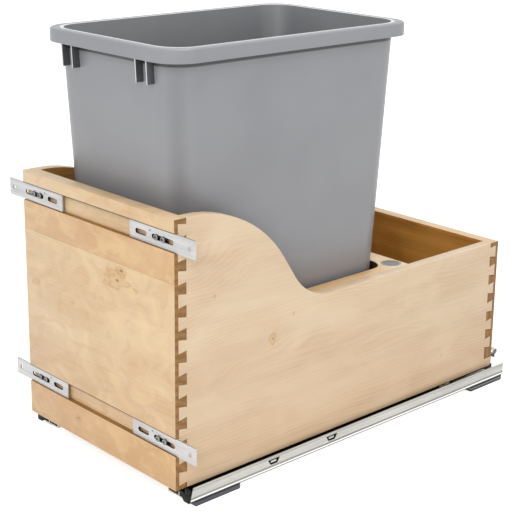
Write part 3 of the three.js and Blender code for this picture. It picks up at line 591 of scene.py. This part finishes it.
def pick(piece, kind, chosen):
    """Selects the vertices, edges or faces of a piece in edit mode that are chosen."""
    bpy.ops.mesh.select_mode(type=kind)
    bpy.ops.mesh.select_all(action="DESELECT")
    mesh = bmesh.from_edit_mesh(piece.data)
    for part in {"VERT": mesh.verts, "EDGE": mesh.edges, "FACE": mesh.faces}[kind]:
        part.select = bool(chosen(part))
    mesh.select_flush_mode()
    bmesh.update_edit_mesh(piece.data)


def copy_of(piece, turn=0.0, centre=(0, 0, 0), move=(0, 0, 0)):
    """A copy with a mesh of its own, turned about an upright axis and moved."""
    twin = piece.copy()
    twin.data = piece.data.copy()
    bpy.context.collection.objects.link(twin)
    axis = Matrix.Translation(Vector(centre))
    turned = axis @ Matrix.Rotation(turn, 4, "Z") @ axis.inverted()
    twin.data.transform(Matrix.Translation(Vector(move)) @ turned)
    return twin


def model_cap():
    """A round cap whose face is dished inside a raised rim."""
    low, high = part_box("platform_cap_right")
    place = (low + high) / 2
    radius = (high.x - low.x) / 2
    disc = {"vertices": 40, "radius": radius, "depth": high.z - low.z, "location": place}
    piece = new_piece("platform_cap_right_cover", bpy.ops.mesh.primitive_cylinder_add, **disc)
    pick(piece, "FACE", lambda face: face.normal.z > 0.9)
    bpy.ops.mesh.inset(thickness=cap_rim)
    bpy.ops.mesh.inset(thickness=cap_slope, depth=-cap_dish)
    bpy.ops.object.mode_set(mode="OBJECT")
    rim_grey = moulded("cap rim plastic", paint(168, 168, 163), paint(150, 150, 146), 0.35)
    face_grey = moulded("cap plastic", paint(142, 142, 138), paint(104, 104, 100), 0.45)
    give(piece, (rim_grey, face_grey))
    ease(piece, "rounded rim", 0.5 * mm, 3)
    inside_rim = radius - cap_rim - 0.3 * mm
    repaint(piece, face_grey, lambda centre, normal: (centre - place).xy.length < inside_rim)
    return piece


cap_right = model_cap()
cap_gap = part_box("platform_cap_left")[0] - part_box("platform_cap_right")[0]
cap_left = copy_of(cap_right, move=cap_gap)
cap_left.name = "platform_cap_left_cover"
for side, cap in zip(sides, (cap_right, cap_left)):
    name = f"platform_cap_{side}"
    finished(cap, frame["nodes"][name]["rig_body"], "grey_plastic", name)

# Cabinet runners, rolled from 1.5 mm galvanised steel and screwed to the cabinet's floor and wall.
# Rolled beads stiffen the outer wall, and two small bars stand in its notches. The other steel
# parts of the runners carry the same zinc.


def rolled_skin():
    """The skin of rolled steel: faint streaks along the rolling direction, and clouded zinc."""
    inputs = {"Place": "Vector", "Rolling": "Vector", "Pale": "Color", "Dark": "Color"}
    inputs |= {"Roughness": "Float"}
    group, start, end = new_group("rolled skin", inputs, skin_outputs)
    streak = stretched_noise(group, start["Place"], start["Rolling"], 3)
    cloud = node(group, "TexNoise", Vector=start["Place"], Scale=30.0, Detail=3.0).outputs["Fac"]
    cloud = reach(group, cloud, 0.3, 0.7, 0.0, 0.4)
    tone = sums(group, "ADD", reach(group, streak, 0.3, 0.7, 0.0, 0.6), cloud)
    colour = blend_colours(group, tone, start["Pale"], start["Dark"])
    gloss = sums(group, "ADD", start["Roughness"], reach(group, streak, 0.3, 0.7, -0.06, 0.08))
    return put_out(group, end, Color=colour, Gloss=gloss, Relief=streak)


skin_of_steel = rolled_skin()


def galvanised(name, pale, dark, roughness, rolling=(48, 10, 480), marking=None):
    """Rolled steel with a thin zinc coat; marking may change its colour by the place."""
    material, tree, shader, place = new_material(name)
    values = {"Place": place, "Rolling": rolling, "Pale": pale, "Dark": dark}
    skin = placed(tree, skin_of_steel, **values, Roughness=roughness)
    shader.inputs["Metallic"].default_value = 0.85
    lay_skin(tree, shader, skin, 0.05, 0.2 * mm, marking, place)
    return material


# Height and half width in millimetres, and strength, of the painted shade lines along the bends.
bend_shade_lines = ((21, 0.2, 0.6), (11.4, 0.2, 0.65), (10.3, 0.1, 0.6), (7.2, 0.6, 1.0))
bend_highlight = 9.0 * mm


def painted_bend_lines(tree, place, colour):
    """Painted shade in thin dark lines along the bends of the outer wall, and a painted highlight
    on its lower bend.
    """
    height = height_in(tree, place)
    for level, core, strength in bend_shade_lines:
        line = line_at(tree, height, level * mm, core * mm, (core + 0.5) * mm, strength)
        colour = blend_colours(tree, line, colour, paint(64, 64, 64))
    # Painted highlight along the lower bend.
    bright = line_at(tree, height, bend_highlight, 0.6 * mm, 1.0 * mm, 0.9)
    return blend_colours(tree, bright, colour, paint(246, 246, 244))


def joined(first, others):
    work_on(first)
    for other in others:
        other.select_set(True)
    bpy.ops.object.join()
    return first


def cuboid(name, place, size, **turned):
    cube = bpy.ops.mesh.primitive_cube_add
    return new_piece(name, cube, size=1, location=place, scale=size, **turned)


def block(name, place, size, **turned):
    """A cuboid that needs no more work in edit mode."""
    piece = cuboid(name, place, size, **turned)
    bpy.ops.object.mode_set(mode="OBJECT")
    return piece


runner_low, runner_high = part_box("cabinet_runner_right")
wall_skin = 1 * mm
track_edge = 126 * mm
bead_low = 11.4 * mm
bead_high = 21 * mm
bead_depth = 0.5 * mm
bar_places = (140.5 * mm, 235 * mm)
bar_size = (0.8 * mm, 8.5 * mm, 2.2 * mm)
bar_inset = 1.9 * mm
bar_height = 16.2 * mm
wall_greys = (paint(192, 192, 187), paint(172, 172, 167))
zinc = galvanised("galvanised steel", paint(208, 208, 203), paint(190, 190, 186), 0.38)
# Painted shade for the inside of the trough.
trough_shade_steel = galvanised("trough shade steel", paint(60, 58, 54), paint(36, 34, 32), 0.5)
wall_steel = galvanised("runner wall steel", *wall_greys, 0.38, marking=painted_bend_lines)
bar_steel = galvanised("bar steel", paint(196, 196, 192), paint(180, 180, 176), 0.4)
runner_finishes = (wall_steel, trough_shade_steel, bar_steel)
small_steel = ("middle_runner", "drawer_runner", "rear_hook", "striker", "damper", "damper_rod")
small_steel += ("front_lock", "lever_pin", "lock_screw")
for side, outward in sides.items():
    face_x = outward * runner_high.x

    def on_bead(vertex):
        between = bead_low - 0.1 * mm < vertex.co.z < bead_high + 0.1 * mm
        return between and abs(vertex.co.x - face_x) < 0.1 * mm

    def outer_wall(centre, normal):
        return abs(face_x - centre.x) < wall_skin and normal.x * outward > 0.3

    def in_track(centre, normal):
        """The trough in which the rollers run, without its ends and the outside of the runner."""
        across = abs(face_x - centre.x) > wall_skin and abs(centre.x) > track_edge
        up = runner_low.z + 1 * mm < centre.z < runner_high.z - 1 * mm
        return across and up and abs(normal.y) < 0.5

    node_name = f"cabinet_runner_{side}"
    runner = dressed(node_name, "zinc_steel", zinc, 0, extra=runner_finishes)
    work_on(runner)
    bpy.ops.object.mode_set(mode="EDIT")
    for level in (bead_low - bead_depth, bead_low, bead_high, bead_high + bead_depth):
        bpy.ops.mesh.select_all(action="SELECT")
        bpy.ops.mesh.bisect(plane_co=(0, 0, level), plane_no=(0, 0, 1))
    pick(runner, "VERT", on_bead)
    bpy.ops.transform.translate(value=(-outward * bead_depth, 0, 0))
    bpy.ops.object.mode_set(mode="OBJECT")
    ease(runner, "rolled edges", 0.2 * mm)
    repaint(runner, wall_steel, outer_wall)
    # Painted shade: the inside of the trough is painted dark.
    repaint(runner, trough_shade_steel, in_track)
    bars = []
    for along in bar_places:
        place = (face_x - outward * bar_inset, front_y + along, bar_height)
        bar = block(f"bar_{side}", place, bar_size)
        give(bar, runner.data.materials)
        repaint(bar, bar_steel, lambda centre, normal: True)
        bars.append(bar)
    finished(joined(runner, bars), "cabinet_side", "zinc_steel", node_name)
    for name in small_steel:
        dressed(f"{name}_{side}", "zinc_steel", zinc, 0.25 * mm)

# Plastic parts of the runners: levers and soft-close housings in black, cages and catches in pale
# nylon, and a nose that closes the front of each runner, hollowed on its inner side.
black_plastic = moulded("black plastic", paint(28, 31, 28), paint(20, 23, 21), 0.55, shine=0.2)
nylon = moulded("roller nylon", paint(232, 230, 222), paint(216, 214, 204), 0.4)
nose_low, nose_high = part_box("runner_nose_right")
nose_shoulder = 18 * mm
nose_hollow = 10.5 * mm
cheek_low = front_high.x + 0.2 * mm
cheek_overlap = 0.4 * mm


def model_nose():
    """A block hollowed at its lower inner edge, with a narrow cheek beside the box."""
    size = Vector((nose_high.x, nose_high.y, nose_shoulder)) - nose_low
    place = nose_low + size / 2
    piece = cuboid("runner_nose_right_plug", place, size)
    pick(
        piece,
        "EDGE",
        lambda edge: all(v.co.x < place.x and v.co.z < place.z for v in edge.verts),
    )
    bpy.ops.mesh.bevel(offset=nose_hollow, segments=7, profile=0.2)
    bpy.ops.object.mode_set(mode="OBJECT")
    low = Vector((cheek_low, nose_low.y, nose_shoulder - cheek_overlap))
    joined(piece, [block("nose_cheek", (low + nose_high) / 2, nose_high - low)])
    give(piece, [black_plastic])
    ease(piece, "moulded edges", 0.4 * mm, 2, 40)
    return piece


def mirrored(piece, name):
    """A copy on the other side of the box, with its faces turned outwards again."""
    twin = copy_of(piece)
    twin.name = name
    twin.data.transform(Matrix.Diagonal((-1, 1, 1, 1)))
    work_on(twin)
    bpy.ops.object.mode_set(mode="EDIT")
    bpy.ops.mesh.select_all(action="SELECT")
    bpy.ops.mesh.remove_doubles(threshold=0.001 * mm)
    bpy.ops.mesh.normals_make_consistent(inside=False)
    bpy.ops.object.mode_set(mode="OBJECT")
    return twin


nose = model_nose()
for side, plug in zip(sides, (nose, mirrored(nose, "runner_nose_left_plug"))):
    finished(plug, "cabinet_side", "black_plastic", "runner_nose_" + side)
    for name in ("release_lever", "soft_close_housing"):
        dressed(f"{name}_{side}", "black_plastic", black_plastic, 0.4 * mm)
    for name in ("lower_roller_cage", "upper_roller_cage", "soft_close_catch"):
        dressed(f"{name}_{side}", "nylon", nylon, 0.2 * mm)

# Pads under the runners, in dark grey plastic, which stand on the cabinet's floor. The front pads
# are plain but for a painted shade along their top edge, and the rear ones have a pale painted
# highlight stripe along their sides, with a painted shade above it.


def pad_edge_shade(tree, place, colour):
    """Painted shade: the top edge of a pad is darkened under the runner."""
    shade = reach(tree, height_in(tree, place), 4.9 * mm, 5.5 * mm, 0.0, 0.9)
    return blend_colours(tree, shade, colour, paint(28, 28, 31))


def pad_side_light_and_shade(tree, place, colour):
    """Painted light and shade on the rounded side: a darker upper half, and a pale highlight stripe
    between the halves.
    """
    height = height_in(tree, place)
    upper = reach(tree, height, 3.6 * mm, 3.8 * mm)
    colour = blend_colours(tree, upper, colour, paint(42, 42, 44))
    stripe = line_at(tree, height, 4.0 * mm, 0.3 * mm, 0.8 * mm, 0.9)
    return blend_colours(tree, stripe, colour, paint(156, 156, 158))


front_greys = (paint(92, 90, 100), paint(82, 80, 90))
rear_greys = (paint(72, 72, 75), paint(64, 64, 67))
pad_plastic = moulded("pad plastic", *front_greys, 0.55, marking=pad_edge_shade, shine=0.35)
lit_and_shaded_pad_plastic = moulded("rear pad light and shade", *rear_greys, 0.55, marking=pad_side_light_and_shade, shine=0.35)
for side in sides:
    dressed(f"front_pad_{side}", "dark_plastic", pad_plastic, 0.6 * mm)
    dressed(f"rear_pad_{side}", "dark_plastic", lit_and_shaded_pad_plastic, 0.6 * mm)

# Door plates, pressed from steel with folded flanges. They sit in the grooves of the front, and a
# toothed strip behind the long slot keeps a clamped screw from slipping. The walls of the slots
# and the strip are painted dark, as painted shade.
plate_greys = (paint(199, 199, 198), paint(187, 187, 186))
plate_zinc = galvanised("plate steel", *plate_greys, 0.42, (10, 48, 480))
slot_shade = moulded("slot shade", paint(34, 30, 26), paint(24, 21, 18), 0.6)
# From the middle of the box to the middle of each slot, and the slot's length.
slots = ((118.7 * mm, 36 * mm), (82.2 * mm, 19 * mm))
slot_height = 5.6 * mm
slot_margin = 0.1 * mm
rack_length = 25 * mm
rack_gauge = 0.7 * mm
rack_inset = 2.6 * mm
rack_height = 0.3 * slot_height
tooth = 2.1 * mm
tooth_pitch = 3.4 * mm


def model_rack(outward, height, face_y):
    """The toothed strip that shows in the long slot, painted dark as painted shade."""
    start = slots[0][0] - slots[0][1] / 2
    y = face_y + rack_inset
    z = height - slot_height / 2 + rack_height / 2
    middle = (outward * (start + rack_length / 2), y, z)
    rack = block("rack", middle, (rack_length, rack_gauge, rack_height))
    teeth = []
    for count in range(int(rack_length / tooth_pitch)):
        place = (outward * (start + (count + 0.7) * tooth_pitch), y, z + rack_height / 2)
        size = (tooth, rack_gauge, tooth)
        teeth.append(block("tooth", place, size, rotation=(0, math.radians(45), 0)))
    joined(rack, teeth)
    give(rack, (plate_zinc, slot_shade))
    repaint(rack, slot_shade, lambda centre, normal: True)
    return rack


for level in ("lower", "upper"):
    for side, outward in sides.items():
        name = f"door_plate_{level}_{side}"
        plate_low, plate_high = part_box(name)
        height = (plate_low.z + plate_high.z) / 2

        def in_slot(centre, normal):
            away = abs(centre.x)
            along = any(abs(away - x) < length / 2 + slot_margin for x, length in slots)
            up = abs(centre.z - height) < slot_height / 2 + slot_margin
            return abs(normal.y) < 0.75 and up and along

        plate = dressed(name, "plate_steel", plate_zinc, 0.3 * mm, extra=(slot_shade,))
        rack = model_rack(outward, height, plate_low.y)
        # Painted shade on the walls of the slots.
        repaint(plate, slot_shade, in_slot)
        finished(joined(plate, [rack]), "drawer", "plate_steel", name)

# Screws that clamp the plates, of turned and zinc plated steel, two in the long slot of each
# plate. One is cut with its cross recess, and the others are copied from it.
screw_zinc = galvanised("screw steel", paint(150, 150, 150), paint(120, 120, 120), 0.34)
recess_size = (0.9 * mm, 1.6 * mm, 3.8 * mm)
recess_reach = 2.1 * mm
recess_depth = 1.2 * mm
screw_name = "door_plate_screw_lower_right_1"
screw = dressed(screw_name, "zinc_steel", screw_zinc, 0.3 * mm, 3, extra=(slot_shade,))
screw_low, screw_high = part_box(screw_name)
screw_middle = (screw_low + screw_high) / 2
screw_head = Vector((screw_middle.x, screw_low.y, screw_middle.z))


def in_recess(centre, normal):
    deep = 0.1 * mm < centre.y - screw_low.y < recess_depth
    return deep and (centre - screw_head).xz.length < recess_reach


for size in (recess_size, recess_size[::-1]):
    blade = block("blade", screw_head, size)
    cut = {"object": blade, "operation": "DIFFERENCE", "solver": "EXACT"}
    apply_modifier(screw, "cross recess", "BOOLEAN", **cut)
    bpy.data.objects.remove(blade)
# Painted shade in the cross recess.
repaint(screw, slot_shade, in_recess)
for level in ("lower", "upper"):
    for side in sides:
        for number in (1, 2):
            name = f"door_plate_screw_{level}_{side}_{number}"
            low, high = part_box(name)
            piece = screw
            if name != screw_name:
                piece = copy_of(screw, move=(low + high) / 2 - screw_middle)
                piece.name = name + "_dressed"
                piece["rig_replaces"] = []
            finished(piece, "drawer", "zinc_steel", name)

# Bin, injection moulded in grey polypropylene: a tapered shell with rounded corners, a rim that
# stands out with a skirt, and pairs of thin fins below the rim at both ends. It stands loose on
# the bottom panel.
bin_low, bin_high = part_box("bin")
bin_centre = (bin_low + bin_high) / 2
rim_half = (bin_high - bin_low) / 2
rim_height = 15.3 * mm
rim_overhang = 10.5 * mm
rim_round = 1.4 * mm
highlight_width = 4 * mm
side_taper = 0.03
end_taper = 0.05
body_corner = 31 * mm
foot_radius = 6 * mm
wall = 2 * mm
rim_z = bin_high.z - rim_height
rim_edge = rim_overhang + wall - highlight_width
# How far each ring of the rim lies inside the outermost edge, and its drop from the last one.
rim_steps = ((rim_edge, 0), (rim_round, 0), (0, rim_round), (0, rim_height - rim_round))


def middle_of(edge):
    return (edge.verts[0].co + edge.verts[1].co) / 2


def upright(edge):
    way = (edge.verts[1].co - edge.verts[0].co).normalized()
    return abs(way.z) > 0.9


def model_bin():
    """A tapered box with bevelled corners, open at the top, its edge drawn out and down."""
    height = bin_high.z - bin_low.z
    top_half = [
        half - rim_overhang - wall + taper * rim_height
        for half, taper in ((rim_half.x, side_taper), (rim_half.y, end_taper))
    ]
    foot_half = (top_half[0] - side_taper * height, top_half[1] - end_taper * height)
    place = tuple(bin_centre)
    piece = cuboid("bin_shell", place, (2 * top_half[0], 2 * top_half[1], height))
    pick(piece, "FACE", lambda face: face.normal.z < -0.9)
    shares = (foot_half[0] / top_half[0], foot_half[1] / top_half[1], 1)
    bpy.ops.transform.resize(value=shares, center_override=place)
    pick(piece, "EDGE", upright)
    bpy.ops.mesh.bevel(offset=body_corner, offset_type="OFFSET", segments=14, profile=0.5)
    pick(piece, "EDGE", lambda edge: middle_of(edge).z < bin_low.z + 0.1 * mm)
    bpy.ops.mesh.bevel(offset=foot_radius, segments=4)
    pick(piece, "FACE", lambda face: face.normal.z > 0.9 and face.calc_center_median().z > rim_z)
    bpy.ops.mesh.delete(type="FACE")
    pick(piece, "EDGE", lambda edge: edge.is_boundary)
    reached = Vector(top_half)
    for outset, drop in rim_steps:
        half = rim_half.xy - Vector((outset, outset))
        shares = (half.x / reached.x, half.y / reached.y, 1)
        bpy.ops.mesh.extrude_edges_move()
        bpy.ops.transform.resize(value=shares, center_override=place)
        bpy.ops.transform.translate(value=(0, 0, -drop))
        reached = half
    bpy.ops.mesh.select_all(action="SELECT")
    bpy.ops.mesh.normals_make_consistent(inside=False)
    bpy.ops.object.mode_set(mode="OBJECT")
    shell_wall = {"thickness": wall, "offset": -1, "use_even_offset": True}
    apply_modifier(piece, "wall", "SOLIDIFY", **shell_wall)
    ease(piece, "moulded edges", 0.9 * mm, 3, 40)
    return piece


fin_gauge = 1.9 * mm
fin_drop = 25 * mm
fin_hidden = 6 * mm
fin_inset = 0.5 * mm
fin_lean = 1.7 * mm
fin_bite = 0.8 * mm
fin_pair_spread = 66.4 * mm
fin_pitch = 18.4 * mm


def model_fin():
    """One upright fin, a thin plate that leans in a little towards its foot."""
    body_y = rim_half.y - rim_overhang - end_taper * fin_drop - fin_bite
    front = rim_half.y - fin_inset
    place = (0, bin_centre.y - (body_y + front) / 2, rim_z - (fin_drop - fin_hidden) / 2)
    piece = cuboid("bin_fin", place, (fin_gauge, front - body_y, fin_drop + fin_hidden))
    pick(piece, "VERT", lambda vertex: vertex.co.z < rim_z and vertex.co.y < place[1])
    bpy.ops.transform.translate(value=(0, fin_lean, 0))
    pick(piece, "VERT", lambda vertex: vertex.co.z > rim_z and vertex.co.y > place[1])
    bpy.ops.transform.translate(value=(0, -end_taper * (fin_drop + fin_hidden / 2), 0))
    bpy.ops.object.mode_set(mode="OBJECT")
    apply_modifier(piece, "moulded edges", "BEVEL", width=0.3 * mm, segments=2)
    return piece


def shaded_corners(tree, place, colour):
    """Painted shade: darker round the corners of the body, and dark close under the rim."""
    away = vectors(tree, "ABSOLUTE", vectors(tree, "SUBTRACT", place, bin_centre)[0])[0]
    split = node(tree, "SeparateXYZ", Vector=away).outputs
    height = height_in(tree, place)
    sunk = sums(tree, "SUBTRACT", rim_z, height)
    depths = []
    for axis, half, taper in (("X", rim_half.x, side_taper), ("Y", rim_half.y, end_taper)):
        narrowed = sums(tree, "MULTIPLY", sunk, taper)
        flat = sums(tree, "SUBTRACT", half - rim_overhang - body_corner, narrowed)
        depths.append(sums(tree, "SUBTRACT", split[axis], flat))
    depth = sums(tree, "MINIMUM", *depths)
    corner = reach(tree, depth, 0.25 * body_corner, 0.7 * body_corner, 0.0, 0.8)
    below = reach(tree, height, rim_z - 0.8 * mm, rim_z - 0.2 * mm, 1.0, 0.0)
    corner = sums(tree, "MULTIPLY", corner, below)
    colour = blend_colours(tree, corner, colour, paint(138, 139, 142))
    shade = reach(tree, height, rim_z - 6.6 * mm, rim_z - 4.8 * mm)
    shade = sums(tree, "MULTIPLY", sums(tree, "MULTIPLY", shade, below), 0.9)
    return blend_colours(tree, shade, colour, paint(52, 53, 54))


def painted_depth_shade(tree, place, colour):
    """Painted shade: the inner wall is darker the deeper it lies."""
    depth = reach(tree, height_in(tree, place), bin_high.z - 160 * mm, bin_high.z, 1.0, 0.0)
    return blend_colours(tree, depth, colour, paint(78, 80, 81))


def inside(centre, normal):
    """The inner faces of the walls, and the upper face of the floor."""
    away = centre - bin_centre
    half = rim_half.xy - Vector((rim_overhang, rim_overhang))
    towards = normal.x * away.x + normal.y * away.y < 0 and abs(normal.z) < 0.5
    on_wall = towards and abs(away.x) < half.x and abs(away.y) < half.y
    on_floor = normal.z > 0.5 and centre.z < bin_low.z + 20 * mm
    return centre.z < bin_high.z - 3 * mm and (on_wall or on_floor)


def on_rim_edge(centre, normal):
    """The inner edge of the rim, which follows the rounded corners of the body."""
    away = centre - bin_centre
    corner = body_corner + highlight_width
    over_x = max(abs(away.x) - rim_half.x + rim_edge + corner, 0)
    over_y = max(abs(away.y) - rim_half.y + rim_edge + corner, 0)
    near = math.hypot(over_x, over_y) < corner + 0.3 * mm
    return near and centre.z > bin_high.z - 1.5 * mm and normal.z > 0.3


bin_greys = (paint(154, 155, 159), paint(149, 150, 154))
shaded_inner_greys = (paint(136, 137, 140), paint(130, 131, 134))
bin_plastic = moulded("bin plastic", *bin_greys, 0.39, grit=1400.0, marking=shaded_corners)
shaded_inner_plastic = moulded("bin inner wall shade", *shaded_inner_greys, 0.45, 0.05, 1400.0, painted_depth_shade)
rim_highlight = moulded("painted rim highlight", paint(226, 226, 227), paint(216, 216, 217), 0.2, 0.02)
fin_flank_shade = moulded("fin flank shade", paint(76, 79, 80), paint(68, 71, 72), 0.45)
shell = model_bin()
give(shell, (bin_plastic, shaded_inner_plastic, rim_highlight))
# The inner faces get a darker copy of the plastic, as painted shade.
repaint(shell, shaded_inner_plastic, inside)
# Painted highlight along the inner edge of the rim.
repaint(shell, rim_highlight, on_rim_edge)
fin = model_fin()
give(fin, (bin_plastic, shaded_inner_plastic, rim_highlight, fin_flank_shade))
# Painted shade on the flanks of the fins.
repaint(fin, fin_flank_shade, lambda centre, normal: abs(normal.x) > 0.8)
# Painted highlight on the front and lower edges of the fins.
repaint(fin, rim_highlight, lambda centre, normal: normal.y < -0.5 or normal.z < -0.5)
fins = []
for turn in (0, math.pi):
    for pair in (-1, 1):
        for edge in (-1, 1):
            x = pair * fin_pair_spread + edge * fin_pitch / 2
            fins.append(copy_of(fin, turn, bin_centre, (x, 0, 0)))
bpy.data.objects.remove(fin)
finished(joined(shell, fins), "bin", "grey_plastic", "bin")

# Plain white studio: a floor and a world that look white to the camera and in reflections, and
# three large soft lamps, the strongest in front and to the right.
bpy.ops.mesh.primitive_plane_add(size=30, location=(0, 0, 0))
floor = bpy.context.active_object
floor.name = "studio_floor"


def seen_directly(tree):
    """Where the camera sees the surface itself, or sees it in a gloss or through glass."""
    rays = node(tree, "LightPath").outputs
    seen = sums(tree, "MAXIMUM", rays["Is Camera Ray"], rays["Is Glossy Ray"])
    return sums(tree, "MAXIMUM", seen, rays["Is Transmission Ray"])


floor_material = bpy.data.materials.new("studio white")
floor_material.use_nodes = True
tree = floor_material.node_tree
tree.nodes.clear()
strength = sums(tree, "MULTIPLY", seen_directly(tree), 0.7)
glow = node(tree, "Emission", Color=(1, 1, 1, 1), Strength=strength)
matt = node(tree, "BsdfDiffuse", Color=(0.82, 0.82, 0.82, 1))
both = node(tree, "AddShader", _0=matt.outputs[0], _1=glow.outputs[0])
node(tree, "OutputMaterial", Surface=both.outputs[0])
give(floor, [floor_material])

world = bpy.data.worlds.new("studio")
bpy.context.scene.world = world
world.use_nodes = True
tree = world.node_tree
tree.nodes.clear()
soft = node(tree, "Background", Color=(1, 1, 1, 1), Strength=0.62)
white = node(tree, "Background", Color=(1, 1, 1, 1), Strength=1.0)
choice = node(tree, "MixShader", _0=seen_directly(tree), _1=soft.outputs[0], _2=white.outputs[0])
node(tree, "OutputWorld", Surface=choice.outputs[0])


def soft_lamp(name, place, size, power):
    """A round lamp that shines at the middle of the object."""
    lamp = bpy.data.lights.new(name, "AREA")
    lamp.shape = "DISK"
    lamp.size = size
    lamp.energy = power
    holder = bpy.data.objects.new(name, lamp)
    bpy.context.collection.objects.link(holder)
    holder.location = place
    way = Vector((0, 0, 0.2)) - Vector(place)
    holder.rotation_euler = way.to_track_quat("-Z", "Y").to_euler()


soft_lamp("key lamp", (1.5, -2.4, 2.0), 1.8, 35)
soft_lamp("side lamp", (2.8, 0.6, 1.2), 1.8, 4)
soft_lamp("overhead lamp", (0.3, 0.4, 3.0), 1.2, 20)

# Camera at the photograph's viewing angle, from the right of the front and a little above. Its
# place and length were fitted to the edges of the box.
yaw, pitch, roll = (math.radians(value) for value in (-47.16, 16.08, 0.7))
focal_pixels = 1325.5
picture_pixels = 522
camera_place = Vector((1148.2, -1098.5, 704.0)) * mm
level_way = Vector((math.sin(yaw), math.cos(yaw), 0))
forward = level_way * math.cos(pitch) - Vector((0, 0, math.sin(pitch)))
right = Vector((math.cos(yaw), -math.sin(yaw), 0))
up = right.cross(forward)
turned_right = right * math.cos(roll) + up * math.sin(roll)
turned_up = up * math.cos(roll) - right * math.sin(roll)
camera_data = bpy.data.cameras.new("camera")
camera_data.sensor_width = 36
camera_data.lens = focal_pixels / picture_pixels * camera_data.sensor_width
camera_data.shift_y = -0.08
camera_data.clip_start = 0.05
camera = bpy.data.objects.new("camera", camera_data)
bpy.context.collection.objects.link(camera)
axes = Matrix((turned_right, turned_up, -forward)).transposed()
camera.matrix_world = Matrix.Translation(camera_place) @ axes.to_4x4()
bpy.context.scene.camera = camera
bpy.context.scene.view_settings.view_transform = "Standard"
